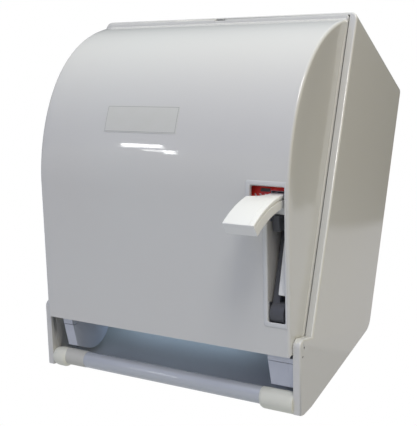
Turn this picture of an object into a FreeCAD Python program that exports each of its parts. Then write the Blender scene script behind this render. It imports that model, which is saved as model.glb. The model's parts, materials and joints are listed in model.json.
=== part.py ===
"""Lever paper towel dispenser for 203 mm rolls, modelled in millimetres.

+X is to the right seen from the front, -Y points away from the wall and +Z is up. Heights in the
named values are measured from the lowest point of the housing. save() moves every piece down by
MOUNT_Z, so that the origin of the written files is the centre of the wall screw pattern on the wall.
"""
import FreeCAD
import Part
import math
import os

V = FreeCAD.Vector

# Housing
WIDTH = 325.0
WALL = 3.0
RIM_Y = -147.5
RIM_BAND = 8.1
RIM_DEPTH = 5.0
RIM_OVER = 3.8
RIM_ROUND = 2.2
TOP_FALL = 36.4
TOP_CORNER = 8.0
REAR_ROUND = 18.0
EAR_TIP_Y = -149.4
EAR_FRONT_Y = -174.8
EAR_TOP = 76.0
EAR_ROUND = 8.0
EAR_FALL = 4.5
EAR_DROP = 1.3
DIMPLE = 2.4
DIMPLE_APART = 9.0
FLOOR_FRONT_Y = -127.0
FLOOR_FRONT_Z = 8.0
FLOOR_LEAN = 34.5
KEY_WIDTH = 13.5
KEY_HEIGHT = 2.7
# Wall fixing
MOUNT_Z = 240.0
HOLES_X = 200.0
HOLES_Z = 200.0
WALL_HOLE = 6.5
# Fits
RUN = 0.05
GAP = 0.3
COVER_GAP = 0.4
PLAY = 0.6
# Cover
HINGE_Y = -163.6
HINGE_Z = 60.4
HINGE_PIN = 6.0
HINGE_HEAD = 9.0
PIN_DEPTH = 6.0
HINGE_BOSS = 7.0
COVER_BELOW_HINGE = 7.5
COVER_BEFORE_HINGE = 10.0
FACE_HEIGHT = 146.1
FACE_REACH = 51.0
CROWN_Z = 403.0
CROWN_ANGLE = 24.6
LOWER_PULL = 38.0
UPPER_PULL = 120.0
COVER_ROUND = 2.5
COVER_CORNER = 2.5
LIP_HEIGHT = 3.5
SHROUD_FROM = 190.0
SHROUD_TO = 330.0
SHROUD_SEAT = 0.6
# Label place on the cover
LABEL_X = -23.0
LABEL_WIDTH = 91.2
LABEL_BOTTOM = 255.8
LABEL_HEIGHT = 28.8
SHEET = 0.3
# Lever, its carrier and its pivot
LEVER_Z = 95.3
LEVER_BEHIND_FACE = 11.8
LEVER_R = 118.4
LEVER_THICK = 13.4
LEVER_TIP = 37.0
PADDLE_REAR = 62.0
LEVER_REAR = 97.0
PADDLE_WIDTH = 33.2
ARM_WIDTH = 14.6
LEVER_ROUND = 1.2
HUB_R = 11.0
BOSS_R = 7.2
LEVER_PIN = 6.0
CARRIER_ROOM = 9.0
CARRIER_FRONT = 69.0
CARRIER_HEAD = 15.0
CARRIER_NECK = 84.0
NECK_BEFORE_PIVOT = 7.5
RATCHET_PITCH = 3.0
RATCHET_DEPTH = 2.5
SPOKE_WIDTH = 7.2
SPOKE_LOW = 15.9
SPOKE_BEFORE_PIVOT = 13.1
SPOKE_RAKE = 6.5
ROOT_FRONT = 71.5
LEVER_TRAVEL = 50.0
LEVER_SCREW = 3.0
# Lever opening in the cover
SLOT_SIDE_LEFT = 1.7
SLOT_SIDE_RIGHT = 2.8
WINDOW_SIDE = 1.1
WINDOW_HEIGHT = 31.5
WINDOW_BELOW_LEVER_TOP = 3.2
BORDER = 4.4
BORDER_RISE = 0.8
JAMB_THICK = 2.1
JAMB_BEFORE_PIVOT = 4.4
# Gears
MODULE = 1.5
PRESSURE_ANGLE = 25.0
ADDENDUM = 0.8
DEDENDUM = 1.05
BACKLASH = 0.12
SECTOR_TEETH = 56
PINION_TEETH = 14
IDLER_TEETH = 30
CLUTCH_TEETH = 20
SECTOR_MARGIN = 9.0
SECTOR_WIDTH = 3.6
GEAR_WIDTH = 4.0
AXLE = 6.0
CLUTCH_SEAT = 12.0
CLUTCH_LENGTH = 11.0
# Cheeks and gear case
CHEEK_FRONT_Y = -170.0
CHEEK_FRONT_Z = 71.0
CHEEK_LEAN = 0.324
CHEEK_KNEE_Y = -166.0
CHEEK_KNEE_Z = 51.0
CHEEK_R = 29.5
CHEEK_Y = -127.0
CHEEK_Z = 52.3
CHEEK_ROUND_END = -95.0
CHEEK_TOE_Y = -149.0
CHEEK_TOE_Z = 24.2
CHEEK_TOP_REAR_Y = -100.0
CHEEK_NECK_Y = -60.0
LEFT_THICK = 13.0
SKIN = 2.5
CASE_LID = 3.0
CASE_CLEAR = 0.8
FOOT_LOW = 112.0
FOOT_HIGH = 168.0
FOOT_DEEP = 3.0
FOOT_WIDTH = 18.0
SCREW = 4.0
SCREW_HEAD = 7.6
SCREW_HEAD_DEEP = 2.4
HOOD_BEHIND_LEVER = 41.0
HOOD_BESIDE_OPENING = 5.5
HOOD_THICK = 2.0
HOOD_STEM_LOW = 20.0
HOOD_STEM_BACK = 14.0
HOOD_RISE = 24.0
TIE_Y = -62.0
TIE_THICK = 3.0
# Feed and pressure rollers
FEED_Y = -128.0
FEED_Z = 80.0
SHAFT = 8.0
BUSH = 12.0
CORE = 30.0
GRIP = 38.0
GRIP_WIDTH = 30.0
GRIP_END = 13.0
PRESS = 16.0
PRESS_AXLE = 5.0
PRESS_RISE = 10.0
ROCKER_Y = -150.0
ROCKER_Z = 112.0
ROCKER_PIN = 5.0
ROCKER_ARM = 5.0
ROCKER_THICK = 2.6
ROCKER_SIDE = 2.3
SPRING_BAR_Y = -172.0
SPRING_BAR_THICK = 2.0
SPRING_BAR_LOW = 92.0
SPRING_BAR_HIGH = 110.0
# Towel path
GUIDE_Y = -104.0
GUIDE_THICK = 2.0
GUIDE_LOW = 60.0
GUIDE_BEND = 120.0
GUIDE_TOP = 150.0
TEAR_THICK = 1.2
TEAR_LOW = 60.0
TEAR_HEIGHT = 13.0
TOOTH_PITCH = 4.0
TOOTH_DROP = 3.5
# Roll holder
ROLL_WIDTH = 203.0
HUB_Y = -115.0
HUB_Z = 265.0
CORE_PLUG = 38.0
PLUG_LENGTH = 12.0
NOSE_LENGTH = 5.0
HUB_FLANGE = 60.0
FLANGE_THICK = 3.0
HUB_STUB = 10.0
ARM_BESIDE_ROLL = 10.5
HOLDER_THICK = 3.0
HOLDER_HALF = 14.0
ARM_PIVOT_Y = -15.0
ARM_PIN = 5.0
BRACKET_HALF = 22.0
BRACKET_LEAF = 4.0
# Bottom bar
BAR_Y = -145.7
BAR_Z = 11.1
BAR = 18.0
BAR_WALL = 1.5
SOCKET = 21.8
SOCKET_DROP = 1.5
SLEEVE = 19.8
DOME_LENGTH = 19.4
SOCKET_LENGTH = 41.6
SOCKET_DEPTH = 12.0
BAR_X = 3.8
# Latch
LATCH_Y = -137.0
LATCH_THICK = 4.0
LATCH_WIDTH = 16.0
LATCH_LENGTH = 12.0
LATCH_DROP = 0.4
KEEPER_THICK = 2.8
HOOK_DEEP = 3.2
HOOK_THICK = 2.5
HOOK_PLAY = 0.5
GUIDE_DROP = 25.0
GUIDE_WALL = 3.0

# Places that follow from the sizes, from the outside inwards
HALF = WIDTH / 2
EAR_IN = HALF - RIM_BAND
COVER_HALF = EAR_IN - COVER_GAP
COVER_REAR = RIM_Y + RIM_DEPTH - 1.0
COVER_SWEEP = math.hypot(COVER_BELOW_HINGE, COVER_BEFORE_HINGE) + 0.7
COVER_BOTTOM_Y = HINGE_Y - COVER_BEFORE_HINGE
COVER_BOTTOM_Z = HINGE_Z - COVER_BELOW_HINGE
FACE_TOP_Y = COVER_BOTTOM_Y - FACE_REACH
FACE_TOP_Z = COVER_BOTTOM_Z + FACE_HEIGHT
FACE_LEAN = math.degrees(math.atan2(FACE_REACH, FACE_HEIGHT))
CROWN_Y = RIM_Y - 0.5
LIP_TOP = CROWN_Z + LIP_HEIGHT
MOUTH_TOP = LIP_TOP + COVER_GAP
RIM_TOP = MOUTH_TOP + RIM_OVER
REAR_TOP = RIM_TOP - TOP_FALL
KEY_BOTTOM = MOUTH_TOP - KEY_HEIGHT / 2
CASE_OUT = COVER_HALF - WALL - CASE_CLEAR
CASE_SPLIT = CASE_OUT - CASE_LID
ARM_RIGHT = CASE_SPLIT - COVER_GAP
ARM_LEFT = ARM_RIGHT - ARM_WIDTH
PADDLE_LEFT = ARM_RIGHT - PADDLE_WIDTH
SPOKE_LEFT = ARM_RIGHT - SPOKE_WIDTH
SECTOR_LEFT = ARM_LEFT - SECTOR_WIDTH
IDLER_GEAR_LEFT = ARM_LEFT + 1.0
CASE_IN = SECTOR_LEFT - PLAY - SKIN
LEFT_IN = 1.0 - CASE_IN
LEFT_OUT = LEFT_IN - LEFT_THICK
ROCKER_OUT = -LEFT_IN - ROCKER_SIDE
ROCKER_IN = ROCKER_OUT - ROCKER_THICK
CORE_HALF = ROCKER_IN - 1.6
GRIP_PITCH = (2 * CORE_HALF - GRIP_WIDTH - 2 * GRIP_END) / 3
ARM_X = ROLL_WIDTH / 2 + ARM_BESIDE_ROLL
BAR_HALF = EAR_IN - SOCKET_LENGTH
LEVER_Y = (COVER_BOTTOM_Y - (LEVER_Z - COVER_BOTTOM_Z) * FACE_REACH / FACE_HEIGHT
           + LEVER_BEHIND_FACE)
CARRIER_R = LEVER_R - LEVER_THICK - CARRIER_ROOM
OPEN_TOP = LEVER_Z + LEVER_R - WINDOW_BELOW_LEVER_TOP
WIDE_BOTTOM = OPEN_TOP - WINDOW_HEIGHT
SLOT_BOTTOM = LEVER_Z - HUB_R + 0.2
SLOT_LEFT = ARM_LEFT - SLOT_SIDE_LEFT
SLOT_RIGHT = ARM_RIGHT + SLOT_SIDE_RIGHT
WIDE_LEFT = PADDLE_LEFT - WINDOW_SIDE
CHEEK_TOP = LEVER_Z + LEVER_R - LEVER_THICK - GAP
HOOD_Y = LEVER_Y - HOOD_BEHIND_LEVER
HOOD_TOP = CHEEK_TOP + HOOD_RISE
KEEPER_FRONT = CROWN_Y + WALL * math.sin(math.radians(CROWN_ANGLE))
KEEPER_TOP = CROWN_Z - WALL * math.cos(math.radians(CROWN_ANGLE))
HOOK_LOW = KEEPER_TOP - KEEPER_THICK - HOOK_DEEP
HOOK_FRONT = LATCH_Y + LATCH_THICK / 2 + HOOK_PLAY
LATCH_TOP = HOOK_LOW - LATCH_DROP
LATCH_LOW = LATCH_TOP - LATCH_LENGTH
GUIDE_BOTTOM = HOOK_LOW - GUIDE_DROP
PITCH_SECTOR = MODULE * SECTOR_TEETH / 2
PITCH_PINION = MODULE * PINION_TEETH / 2
PITCH_IDLER = MODULE * IDLER_TEETH / 2
PITCH_CLUTCH = MODULE * CLUTCH_TEETH / 2


# Helpers ------------------------------------------------------------------------------------------

def box(x0, x1, y0, y1, z0, z1):
    return Part.makeBox(x1 - x0, y1 - y0, z1 - z0, V(x0, y0, z0))


def rod(y, z, radius, x0, x1):
    """A round bar along X."""
    return Part.makeCylinder(radius, x1 - x0, V(x0, y, z), V(1, 0, 0))


def rod_y(x, z, radius, y0, y1):
    """A round bar along Y."""
    return Part.makeCylinder(radius, y1 - y0, V(x, y0, z), V(0, 1, 0))


def rod_z(x, y, radius, z0, z1):
    """A round bar along Z."""
    return Part.makeCylinder(radius, z1 - z0, V(x, y, z0), V(0, 0, 1))


def prism(points, x0, x1):
    """A side outline of (y, z) points, extruded from x0 to x1."""
    wire = Part.makePolygon([V(x0, y, z) for y, z in points + points[:1]])
    return Part.Face(wire).extrude(V(x1 - x0, 0, 0))


def polar(y, z, radius, degrees):
    """The point at an angle that runs from +Y towards +Z."""
    a = math.radians(degrees)
    return (y + radius * math.cos(a), z + radius * math.sin(a))


def arc(y, z, radius, start, end, steps):
    return [polar(y, z, radius, start + (end - start) * i / steps) for i in range(steps + 1)]


def ring_sector(y, z, r0, r1, a0, a1, x0, x1):
    """A part of a ring about an X axis, under 180 degrees wide, with true round faces."""
    ring = rod(y, z, r1, x0, x1)
    if r0 > 0:
        ring = ring.cut(rod(y, z, r0, x0, x1))
    reach = 3 * r1
    middle = (a0 + a1) / 2
    wedge = prism([(y, z), polar(y, z, reach, a0), polar(y, z, reach, middle),
                   polar(y, z, reach, a1)], x0, x1)
    return ring.common(wedge)


def mirrored(shape):
    return shape.mirror(V(0, 0, 0), V(1, 0, 0))


def save(name, shape):
    moved = shape.copy()
    moved.translate(V(0, 0, -MOUNT_Z))
    moved.exportStep("parts/" + name + ".step")


def screw_y(x, z, y_seat, length):
    """A pan head screw that points to the wall, with its head seated on y_seat."""
    reach = SCREW_HEAD * 0.3
    top = y_seat - SCREW_HEAD_DEEP
    head = rod_y(x, z, SCREW_HEAD / 2, top, y_seat)
    cross = box(x - reach, x + reach, top, top + 1.2, z - 0.5, z + 0.5)
    cross = cross.fuse(box(x - 0.5, x + 0.5, top, top + 1.2, z - reach, z + reach))
    return head.cut(cross).fuse(rod_y(x, z, SCREW / 2, y_seat, y_seat + length))


def coil(radius, wire, pitch, height):
    """A spring about Z that stands on z = 0."""
    path = Part.makeHelix(pitch, height - wire, radius)
    profile = Part.Wire([Part.Circle(V(radius, 0, 0), V(0, 1, 0), wire / 2).toShape()])
    spring = Part.Wire(path).makePipeShell([profile], True, True)
    spring.translate(V(0, 0, wire / 2))
    return spring


def gear(y, z, teeth, x0, x1, tooth_angle):
    """A spur gear with involute flanks whose first tooth points along tooth_angle."""
    pitch_r = MODULE * teeth / 2
    base_r = pitch_r * math.cos(math.radians(PRESSURE_ANGLE))
    tip_r = pitch_r + ADDENDUM * MODULE
    root_r = pitch_r - DEDENDUM * MODULE
    half = 90.0 / teeth - math.degrees(BACKLASH / 2 / pitch_r)

    def involute(radius):
        if radius <= base_r:
            return 0.0
        alpha = math.acos(base_r / radius)
        return math.degrees(math.tan(alpha) - alpha)

    at_pitch = involute(pitch_r)
    low_r = max(base_r, root_r)
    radii = [low_r + (tip_r - low_r) * i / 4 for i in range(5)]
    flank = [(r, half + at_pitch - involute(r)) for r in radii]
    if root_r < low_r:
        flank = [(root_r, flank[0][1])] + flank
    points = []
    for n in range(teeth):
        centre = tooth_angle + 360.0 * n / teeth
        points += [polar(y, z, r, centre - a) for r, a in flank]
        points += [polar(y, z, r, centre + a) for r, a in reversed(flank)]
    return prism(points, x0, x1)


# Axes that follow from the gear sizes -------------------------------------------------------------

def idler_axis():
    """Where the idler meshes with both the sector and the clutch gear."""
    first = PITCH_SECTOR + PITCH_PINION
    second = PITCH_IDLER + PITCH_CLUTCH
    dy = FEED_Y - LEVER_Y
    dz = FEED_Z - LEVER_Z
    span = math.hypot(dy, dz)
    along = math.degrees(math.acos((first ** 2 + span ** 2 - second ** 2) / (2 * first * span)))
    return polar(LEVER_Y, LEVER_Z, first, math.degrees(math.atan2(dz, dy)) + along)


IDLER_Y, IDLER_Z = idler_axis()
MESH_ONE = math.degrees(math.atan2(IDLER_Z - LEVER_Z, IDLER_Y - LEVER_Y))
MESH_TWO = math.degrees(math.atan2(FEED_Z - IDLER_Z, FEED_Y - IDLER_Y))
PRESS_Y, PRESS_Z = polar(FEED_Y, FEED_Z, (GRIP + PRESS) / 2 + GAP, 180 - PRESS_RISE)
WEB_Y = (ROCKER_Y + PRESS_Y) / 2 - 4


def cheek_front(z):
    """Depth of the leaning front edge of both cheeks at a height."""
    return CHEEK_FRONT_Y + (CHEEK_FRONT_Z - z) * CHEEK_LEAN


def top_at(y):
    """Height of the sloping top of the housing at a depth."""
    return REAR_TOP + (RIM_TOP - REAR_TOP) * y / RIM_Y


def floor_at(y):
    """Height of the underside of the sloping floor at a depth."""
    return FLOOR_FRONT_Z + (y - FLOOR_FRONT_Y) * math.tan(math.radians(FLOOR_LEAN))


# Housing ------------------------------------------------------------------------------------------

def housing_outer():
    side = [(RIM_Y, RIM_TOP), (0, REAR_TOP), (0, floor_at(0)), (FLOOR_FRONT_Y, FLOOR_FRONT_Z),
            (EAR_TIP_Y + 7, 1.4 - EAR_DROP), (EAR_TIP_Y, -EAR_DROP), (EAR_FRONT_Y, EAR_TOP - EAR_FALL),
            (RIM_Y, EAR_TOP)]
    solid = prism(side, -HALF, HALF)
    shoulder = [e for e in solid.Edges if e.BoundBox.XLength > WIDTH - 1
                and abs(e.CenterOfMass.y - EAR_FRONT_Y) < 0.1]
    solid = solid.makeFillet(EAR_ROUND, shoulder)
    tops = [e for e in solid.Edges if abs(abs(e.CenterOfMass.x) - HALF) < 0.1
            and e.BoundBox.ZMin > REAR_TOP - 1]
    solid = solid.makeFillet(TOP_CORNER, tops)
    corner = [e for e in solid.Edges if e.BoundBox.XLength > WIDTH - 1
              and abs(e.CenterOfMass.y) < 0.1 and abs(e.CenterOfMass.z - floor_at(0)) < 0.1]
    solid = solid.makeFillet(REAR_ROUND, corner)
    return round_rim(solid)


def round_rim(solid):
    """Rounds the outer edges of the rim, of the ears' fronts and tips and of the side walls."""
    edges = []
    for e in solid.Edges:
        c = e.CenterOfMass
        on_side = abs(abs(c.x) - HALF) < 0.1
        on_rim = abs(c.y - RIM_Y) < 0.1 and c.z > RIM_TOP - TOP_CORNER - 1
        on_ear = c.z < EAR_TOP + 0.1 and c.y < RIM_Y and on_side
        rim_side = on_side and abs(c.y - RIM_Y) < 0.1
        if on_rim or on_ear or rim_side:
            edges.append(e)
    return solid.makeFillet(RIM_ROUND, edges)


def back_housing():
    inner = HALF - WALL
    back_y = RIM_Y + RIM_DEPTH
    lift = WALL / math.cos(math.radians(FLOOR_LEAN))
    cavity = prism([(back_y, top_at(back_y) - WALL), (-WALL, top_at(-WALL) - WALL),
                    (-WALL, floor_at(-WALL) + lift), (FLOOR_FRONT_Y, FLOOR_FRONT_Z + lift),
                    (back_y, FLOOR_FRONT_Z + lift)], -inner, inner)
    mouth = box(-EAR_IN, EAR_IN, RIM_Y - 100, back_y, -5, MOUTH_TOP)
    below = box(-EAR_IN, EAR_IN, RIM_Y - 100, FLOOR_FRONT_Y, -5, EAR_TOP)
    shell = housing_outer().cut(cavity).cut(mouth).cut(below)
    for x, z in wall_holes():
        shell = shell.cut(rod_y(x, z, WALL_HOLE / 2, -WALL - 1, 1))
    for x, z in chassis_points() + arm_foot_points():
        shell = shell.cut(rod_y(x, z, SCREW / 2, -WALL - 1, 1))
    for side in (-1, 1):
        x0, x1 = sorted((side * (EAR_IN - 1), side * (EAR_IN + PIN_DEPTH)))
        shell = shell.cut(rod(HINGE_Y, HINGE_Z, HINGE_PIN / 2, x0, x1))
        x0, x1 = sorted((side * (HALF - 1), side * (HALF + 1)))
        for dz in (-DIMPLE_APART / 2, DIMPLE_APART / 2):
            shell = shell.cut(rod(HINGE_Y, HINGE_Z + dz, DIMPLE / 2, x0, x1))
    key = box(-KEY_WIDTH / 2, KEY_WIDTH / 2, RIM_Y - 5, back_y + 1, KEY_BOTTOM, KEY_BOTTOM + KEY_HEIGHT)
    return shell.cut(key)


def wall_holes():
    return [(sx * HOLES_X / 2, MOUNT_Z + sz * HOLES_Z / 2) for sx in (-1, 1) for sz in (-1, 1)]


def chassis_points():
    """Screws that hold the rear feet of both cheeks to the rear wall."""
    across = (LEFT_IN + FOOT_WIDTH / 2, CASE_IN - FOOT_WIDTH / 2)
    return [(x, z) for x in across for z in (FOOT_LOW + 10, FOOT_HIGH - 10)]


def arm_foot_points():
    """Screws that hold the roll arm brackets to the rear wall."""
    return [(side * (ARM_X - 18), HUB_Z + dz * BRACKET_HALF / 2) for side in (-1, 1) for dz in (-1, 1)]


def hinge_pin(side):
    seat = COVER_HALF - WALL - CASE_CLEAR
    pin = rod(HINGE_Y, HINGE_Z, HINGE_PIN / 2, seat, EAR_IN + PIN_DEPTH)
    pin = pin.fuse(rod(HINGE_Y, HINGE_Z, HINGE_HEAD / 2, seat - 1.2, seat))
    return pin if side > 0 else mirrored(pin)


# Cover --------------------------------------------------------------------------------------------

def cover_poles(inset):
    """The four poles of the curved upper front, moved inwards by inset."""
    lean = math.radians(FACE_LEAN)
    crown = math.radians(CROWN_ANGLE)
    start = V(0, FACE_TOP_Y + inset * math.cos(lean), FACE_TOP_Z + inset * math.sin(lean))
    end = V(0, CROWN_Y + inset * math.sin(crown), CROWN_Z - inset * math.cos(crown))
    along = V(0, -math.sin(lean), math.cos(lean))
    back = V(0, -math.cos(crown), -math.sin(crown))
    return [start, start + along * LOWER_PULL, end + back * (UPPER_PULL - 1.2 * inset), end]


def face_y(z, inset=0.0):
    """Depth of the cover's straight lower face at a height."""
    slope = math.tan(math.radians(FACE_LEAN))
    return COVER_BOTTOM_Y - (z - COVER_BOTTOM_Z) * slope + inset / math.cos(math.radians(FACE_LEAN))


def cover_body(half, inset, rear, bottom):
    """The cover's side outline, moved inwards by inset and extruded over twice half."""
    poles = cover_poles(inset)
    curve = Part.BezierCurve()
    curve.setPoles(poles)
    foot = V(0, face_y(bottom, inset), bottom)
    rear_low = V(0, rear, bottom)
    rear_high = V(0, rear, poles[3].z)
    edges = [Part.makeLine(foot, poles[0]), curve.toShape()]
    if rear > poles[3].y + 0.01:
        edges.append(Part.makeLine(poles[3], rear_high))
    else:
        rear_high = poles[3]
    edges += [Part.makeLine(rear_high, rear_low), Part.makeLine(rear_low, foot)]
    face = Part.Face(Part.Wire(edges))
    face.translate(V(-half, 0, 0))
    return face.extrude(V(2 * half, 0, 0))


def opening(grow, y0, y1):
    """The lever opening as seen from the front, made larger by grow."""
    wide = box(WIDE_LEFT - grow, SLOT_RIGHT + grow, y0, y1, WIDE_BOTTOM - grow, OPEN_TOP + grow)
    slot = box(SLOT_LEFT - grow, SLOT_RIGHT + grow, y0, y1, SLOT_BOTTOM - grow, OPEN_TOP + grow)
    return wide.fuse(slot)


def front_cover():
    rear = COVER_REAR
    outer = cover_body(COVER_HALF, 0, rear, COVER_BOTTOM_Z)
    long_edges = [e for e in outer.Edges if e.BoundBox.XLength < 0.1
                  and e.CenterOfMass.y < CROWN_Y - 20 and e.BoundBox.ZLength > 50]
    outer = outer.makeFillet(COVER_ROUND, long_edges)
    outer = outer.cut(corner_cut(1)).cut(corner_cut(-1))
    lip = box(-COVER_HALF, COVER_HALF, CROWN_Y - 2.5, rear, CROWN_Z - WALL, LIP_TOP)
    inner = cover_body(COVER_HALF - WALL, WALL, rear + 20, COVER_BOTTOM_Z - 20)
    shell = outer.fuse(lip).cut(inner)
    border = cover_body(COVER_HALF - COVER_ROUND, -BORDER_RISE, rear, COVER_BOTTOM_Z)
    front = FACE_TOP_Y - 60
    border = border.common(opening(BORDER, front, rear)).cut(cover_body(COVER_HALF, WALL / 2, rear + 20, 0))
    shell = shell.fuse(border).cut(opening(0, front, LEVER_Y))
    shell = shell.fuse(slot_jamb())
    shell = shell.cut(box(-KEY_WIDTH / 2, KEY_WIDTH / 2, CROWN_Y - 9, rear + 1, KEY_BOTTOM, LIP_TOP + 1))
    for side in (-1, 1):
        boss = rod(HINGE_Y, HINGE_Z, HINGE_BOSS, COVER_HALF - WALL - CASE_CLEAR, COVER_HALF)
        hole = rod(HINGE_Y, HINGE_Z, HINGE_PIN / 2 + RUN, COVER_HALF - 8, COVER_HALF + 1)
        shell = shell.fuse(boss if side > 0 else mirrored(boss))
        shell = shell.cut(hole if side > 0 else mirrored(hole))
    return shell.removeSplitter()


def corner_cut(side):
    """What is taken off a lower corner of the cover, so that it is round seen from the front."""
    x = side * (COVER_HALF - COVER_CORNER)
    z = COVER_BOTTOM_Z + COVER_CORNER
    low_x, high_x = sorted((x, side * (COVER_HALF + 1)))
    square = box(low_x, high_x, FACE_TOP_Y, HINGE_Y - COVER_CORNER, COVER_BOTTOM_Z - 1, z)
    return square.cut(rod_y(x, z, COVER_CORNER, FACE_TOP_Y - 1, HINGE_Y))


def slot_jamb():
    """The wall that runs inwards from the slot's left edge, above the lever's hub."""
    low = LEVER_Z + BOSS_R + PLAY + 1.0
    rear = LEVER_Y - JAMB_BEFORE_PIVOT
    return prism([(face_y(low) + 0.5, low), (rear, low), (rear, WIDE_BOTTOM),
                  (face_y(WIDE_BOTTOM) + 0.5, WIDE_BOTTOM)], SLOT_LEFT - JAMB_THICK, SLOT_LEFT)


def latch_keeper():
    """The plate under the cover's lip, with the hook that the bolt rises in front of."""
    half = LATCH_WIDTH / 2 + 4
    rear = HOOK_FRONT + HOOK_THICK
    plate = box(-half, half, KEEPER_FRONT, rear, KEEPER_TOP - KEEPER_THICK, KEEPER_TOP)
    return plate.fuse(box(-half, half, HOOK_FRONT, rear, HOOK_LOW, KEEPER_TOP))


def edge_shroud(side):
    """The piece of a cheek's shape that swings with the cover, and its seat behind the cover's edge."""
    radius = COVER_SWEEP - COVER_GAP
    x0, x1 = (LEFT_OUT, LEFT_IN) if side < 0 else (CASE_IN, CASE_OUT)
    ring = ring_sector(HINGE_Y, HINGE_Z, HINGE_HEAD / 2 + 1, radius, SHROUD_FROM, SHROUD_TO, x0, x1)
    seat = ring.common(cover_body(COVER_HALF, WALL, RIM_Y, COVER_BOTTOM_Z + SHROUD_SEAT))
    shroud = seat.fuse(ring.common(prism(cheek_outline(0), x0, x1)))
    if side > 0:
        edge = ring_sector(HINGE_Y, HINGE_Z, HINGE_BOSS + GAP, radius, SHROUD_FROM, SHROUD_TO,
                           x1, COVER_HALF)
        below = box(x1, COVER_HALF, FACE_TOP_Y, CHEEK_TOE_Y, 0, COVER_BOTTOM_Z - COVER_GAP)
        shroud = shroud.fuse(edge.common(prism(cheek_outline(0), x1, COVER_HALF)).common(below))
    return shroud.removeSplitter()


def label_plate():
    skin = cover_body(COVER_HALF, 0, RIM_Y, COVER_BOTTOM_Z)
    skin.translate(V(0, -SHEET, 0))
    skin = skin.cut(cover_body(COVER_HALF + 1, -RUN, RIM_Y + 5, COVER_BOTTOM_Z - 1))
    place = box(LABEL_X - LABEL_WIDTH / 2, LABEL_X + LABEL_WIDTH / 2, FACE_TOP_Y - 60, FACE_TOP_Y + 30,
                LABEL_BOTTOM, LABEL_BOTTOM + LABEL_HEIGHT)
    return skin.common(place)


# Lever --------------------------------------------------------------------------------------------

def lever():
    inner = LEVER_R - LEVER_THICK
    paddle = ring_sector(LEVER_Y, LEVER_Z, inner, LEVER_R, 180 - PADDLE_REAR, 180 - LEVER_TIP,
                         PADDLE_LEFT, ARM_RIGHT)
    arm = ring_sector(LEVER_Y, LEVER_Z, inner, LEVER_R, 180 - LEVER_REAR, 180 - PADDLE_REAR,
                      ARM_LEFT, ARM_RIGHT)
    front = LEVER_Y - SPOKE_BEFORE_PIVOT
    rear = 180 - LEVER_REAR
    spoke = prism([(front, LEVER_Z + SPOKE_LOW), (front - SPOKE_RAKE, LEVER_Z + inner + 5),
                   polar(LEVER_Y, LEVER_Z, inner + 5, rear), polar(LEVER_Y, LEVER_Z, SPOKE_LOW, rear)],
                  SPOKE_LEFT, ARM_RIGHT).common(rod(LEVER_Y, LEVER_Z, inner, SPOKE_LEFT, ARM_RIGHT))
    root = ring_sector(LEVER_Y, LEVER_Z, CARRIER_R + GAP, inner, rear, 180 - ROOT_FRONT,
                       ARM_LEFT, ARM_RIGHT)
    groove = ring_sector(LEVER_Y, LEVER_Z, LEVER_R - 5.6, LEVER_R - 3.6, 180 - LEVER_REAR - 1,
                         180 - LEVER_TIP - 3, ARM_RIGHT - 1.5, ARM_RIGHT + 1)
    return arm.fuse([paddle, spoke, root]).cut([groove] + lever_screw_holes()).removeSplitter()


def lever_carrier():
    """The dark hub with the toothed quadrant that makes every stroke a full one."""
    rear = 180 - LEVER_REAR
    head = ring_sector(LEVER_Y, LEVER_Z, CARRIER_R - CARRIER_HEAD, CARRIER_R, rear, 180 - CARRIER_FRONT,
                       ARM_LEFT, SPOKE_LEFT)
    reach = CARRIER_R - CARRIER_HEAD / 2
    neck = prism([(LEVER_Y, LEVER_Z), (LEVER_Y - NECK_BEFORE_PIVOT, LEVER_Z),
                  polar(LEVER_Y, LEVER_Z, reach, 180 - CARRIER_NECK), polar(LEVER_Y, LEVER_Z, reach, rear)],
                 ARM_LEFT, SPOKE_LEFT)
    plate = head.fuse(neck)
    count = int((LEVER_REAR - CARRIER_FRONT) / RATCHET_PITCH)
    for n in range(count):
        angle = 180 - CARRIER_FRONT - RATCHET_PITCH * n
        notch = prism([polar(LEVER_Y, LEVER_Z, CARRIER_R - RATCHET_DEPTH, angle - 0.9 * RATCHET_PITCH),
                       polar(LEVER_Y, LEVER_Z, CARRIER_R + 1, angle - 0.9 * RATCHET_PITCH),
                       polar(LEVER_Y, LEVER_Z, CARRIER_R + 1, angle - 0.2 * RATCHET_PITCH)],
                      ARM_LEFT - 1, SPOKE_LEFT + 1)
        plate = plate.cut(notch)
    hub = rod(LEVER_Y, LEVER_Z, HUB_R, ARM_LEFT, ARM_RIGHT)
    bore = rod(LEVER_Y, LEVER_Z, LEVER_PIN / 2 + RUN, ARM_LEFT - 1, ARM_RIGHT + 1)
    return plate.fuse(hub).cut([bore] + lever_screw_holes())


def sector_gear():
    low = MESH_ONE - LEVER_TRAVEL - SECTOR_MARGIN
    full = gear(LEVER_Y, LEVER_Z, SECTOR_TEETH, SECTOR_LEFT, ARM_LEFT, MESH_ONE)
    wedge = ring_sector(LEVER_Y, LEVER_Z, 0, PITCH_SECTOR + 5, low, MESH_ONE + SECTOR_MARGIN,
                        SECTOR_LEFT, ARM_LEFT)
    hub = rod(LEVER_Y, LEVER_Z, BOSS_R, SECTOR_LEFT, ARM_LEFT)
    teeth = full.common(wedge).fuse(hub)
    return teeth.cut(rod(LEVER_Y, LEVER_Z, LEVER_PIN / 2 + RUN, SECTOR_LEFT - 1, ARM_LEFT + 1))


def lever_screws():
    """Two screws that hold the lever's spoke on its carrier."""
    group = []
    for y, z in lever_screw_points():
        head = rod(y, z, LEVER_SCREW, ARM_RIGHT - 2.2, ARM_RIGHT)
        head = head.cut(box(ARM_RIGHT - 1, ARM_RIGHT + 1, y - 2, y + 2, z - 0.4, z + 0.4))
        group.append(head.fuse(rod(y, z, LEVER_SCREW / 2, ARM_LEFT + 1, ARM_RIGHT - 2.2)))
    return Part.makeCompound(group)


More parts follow.
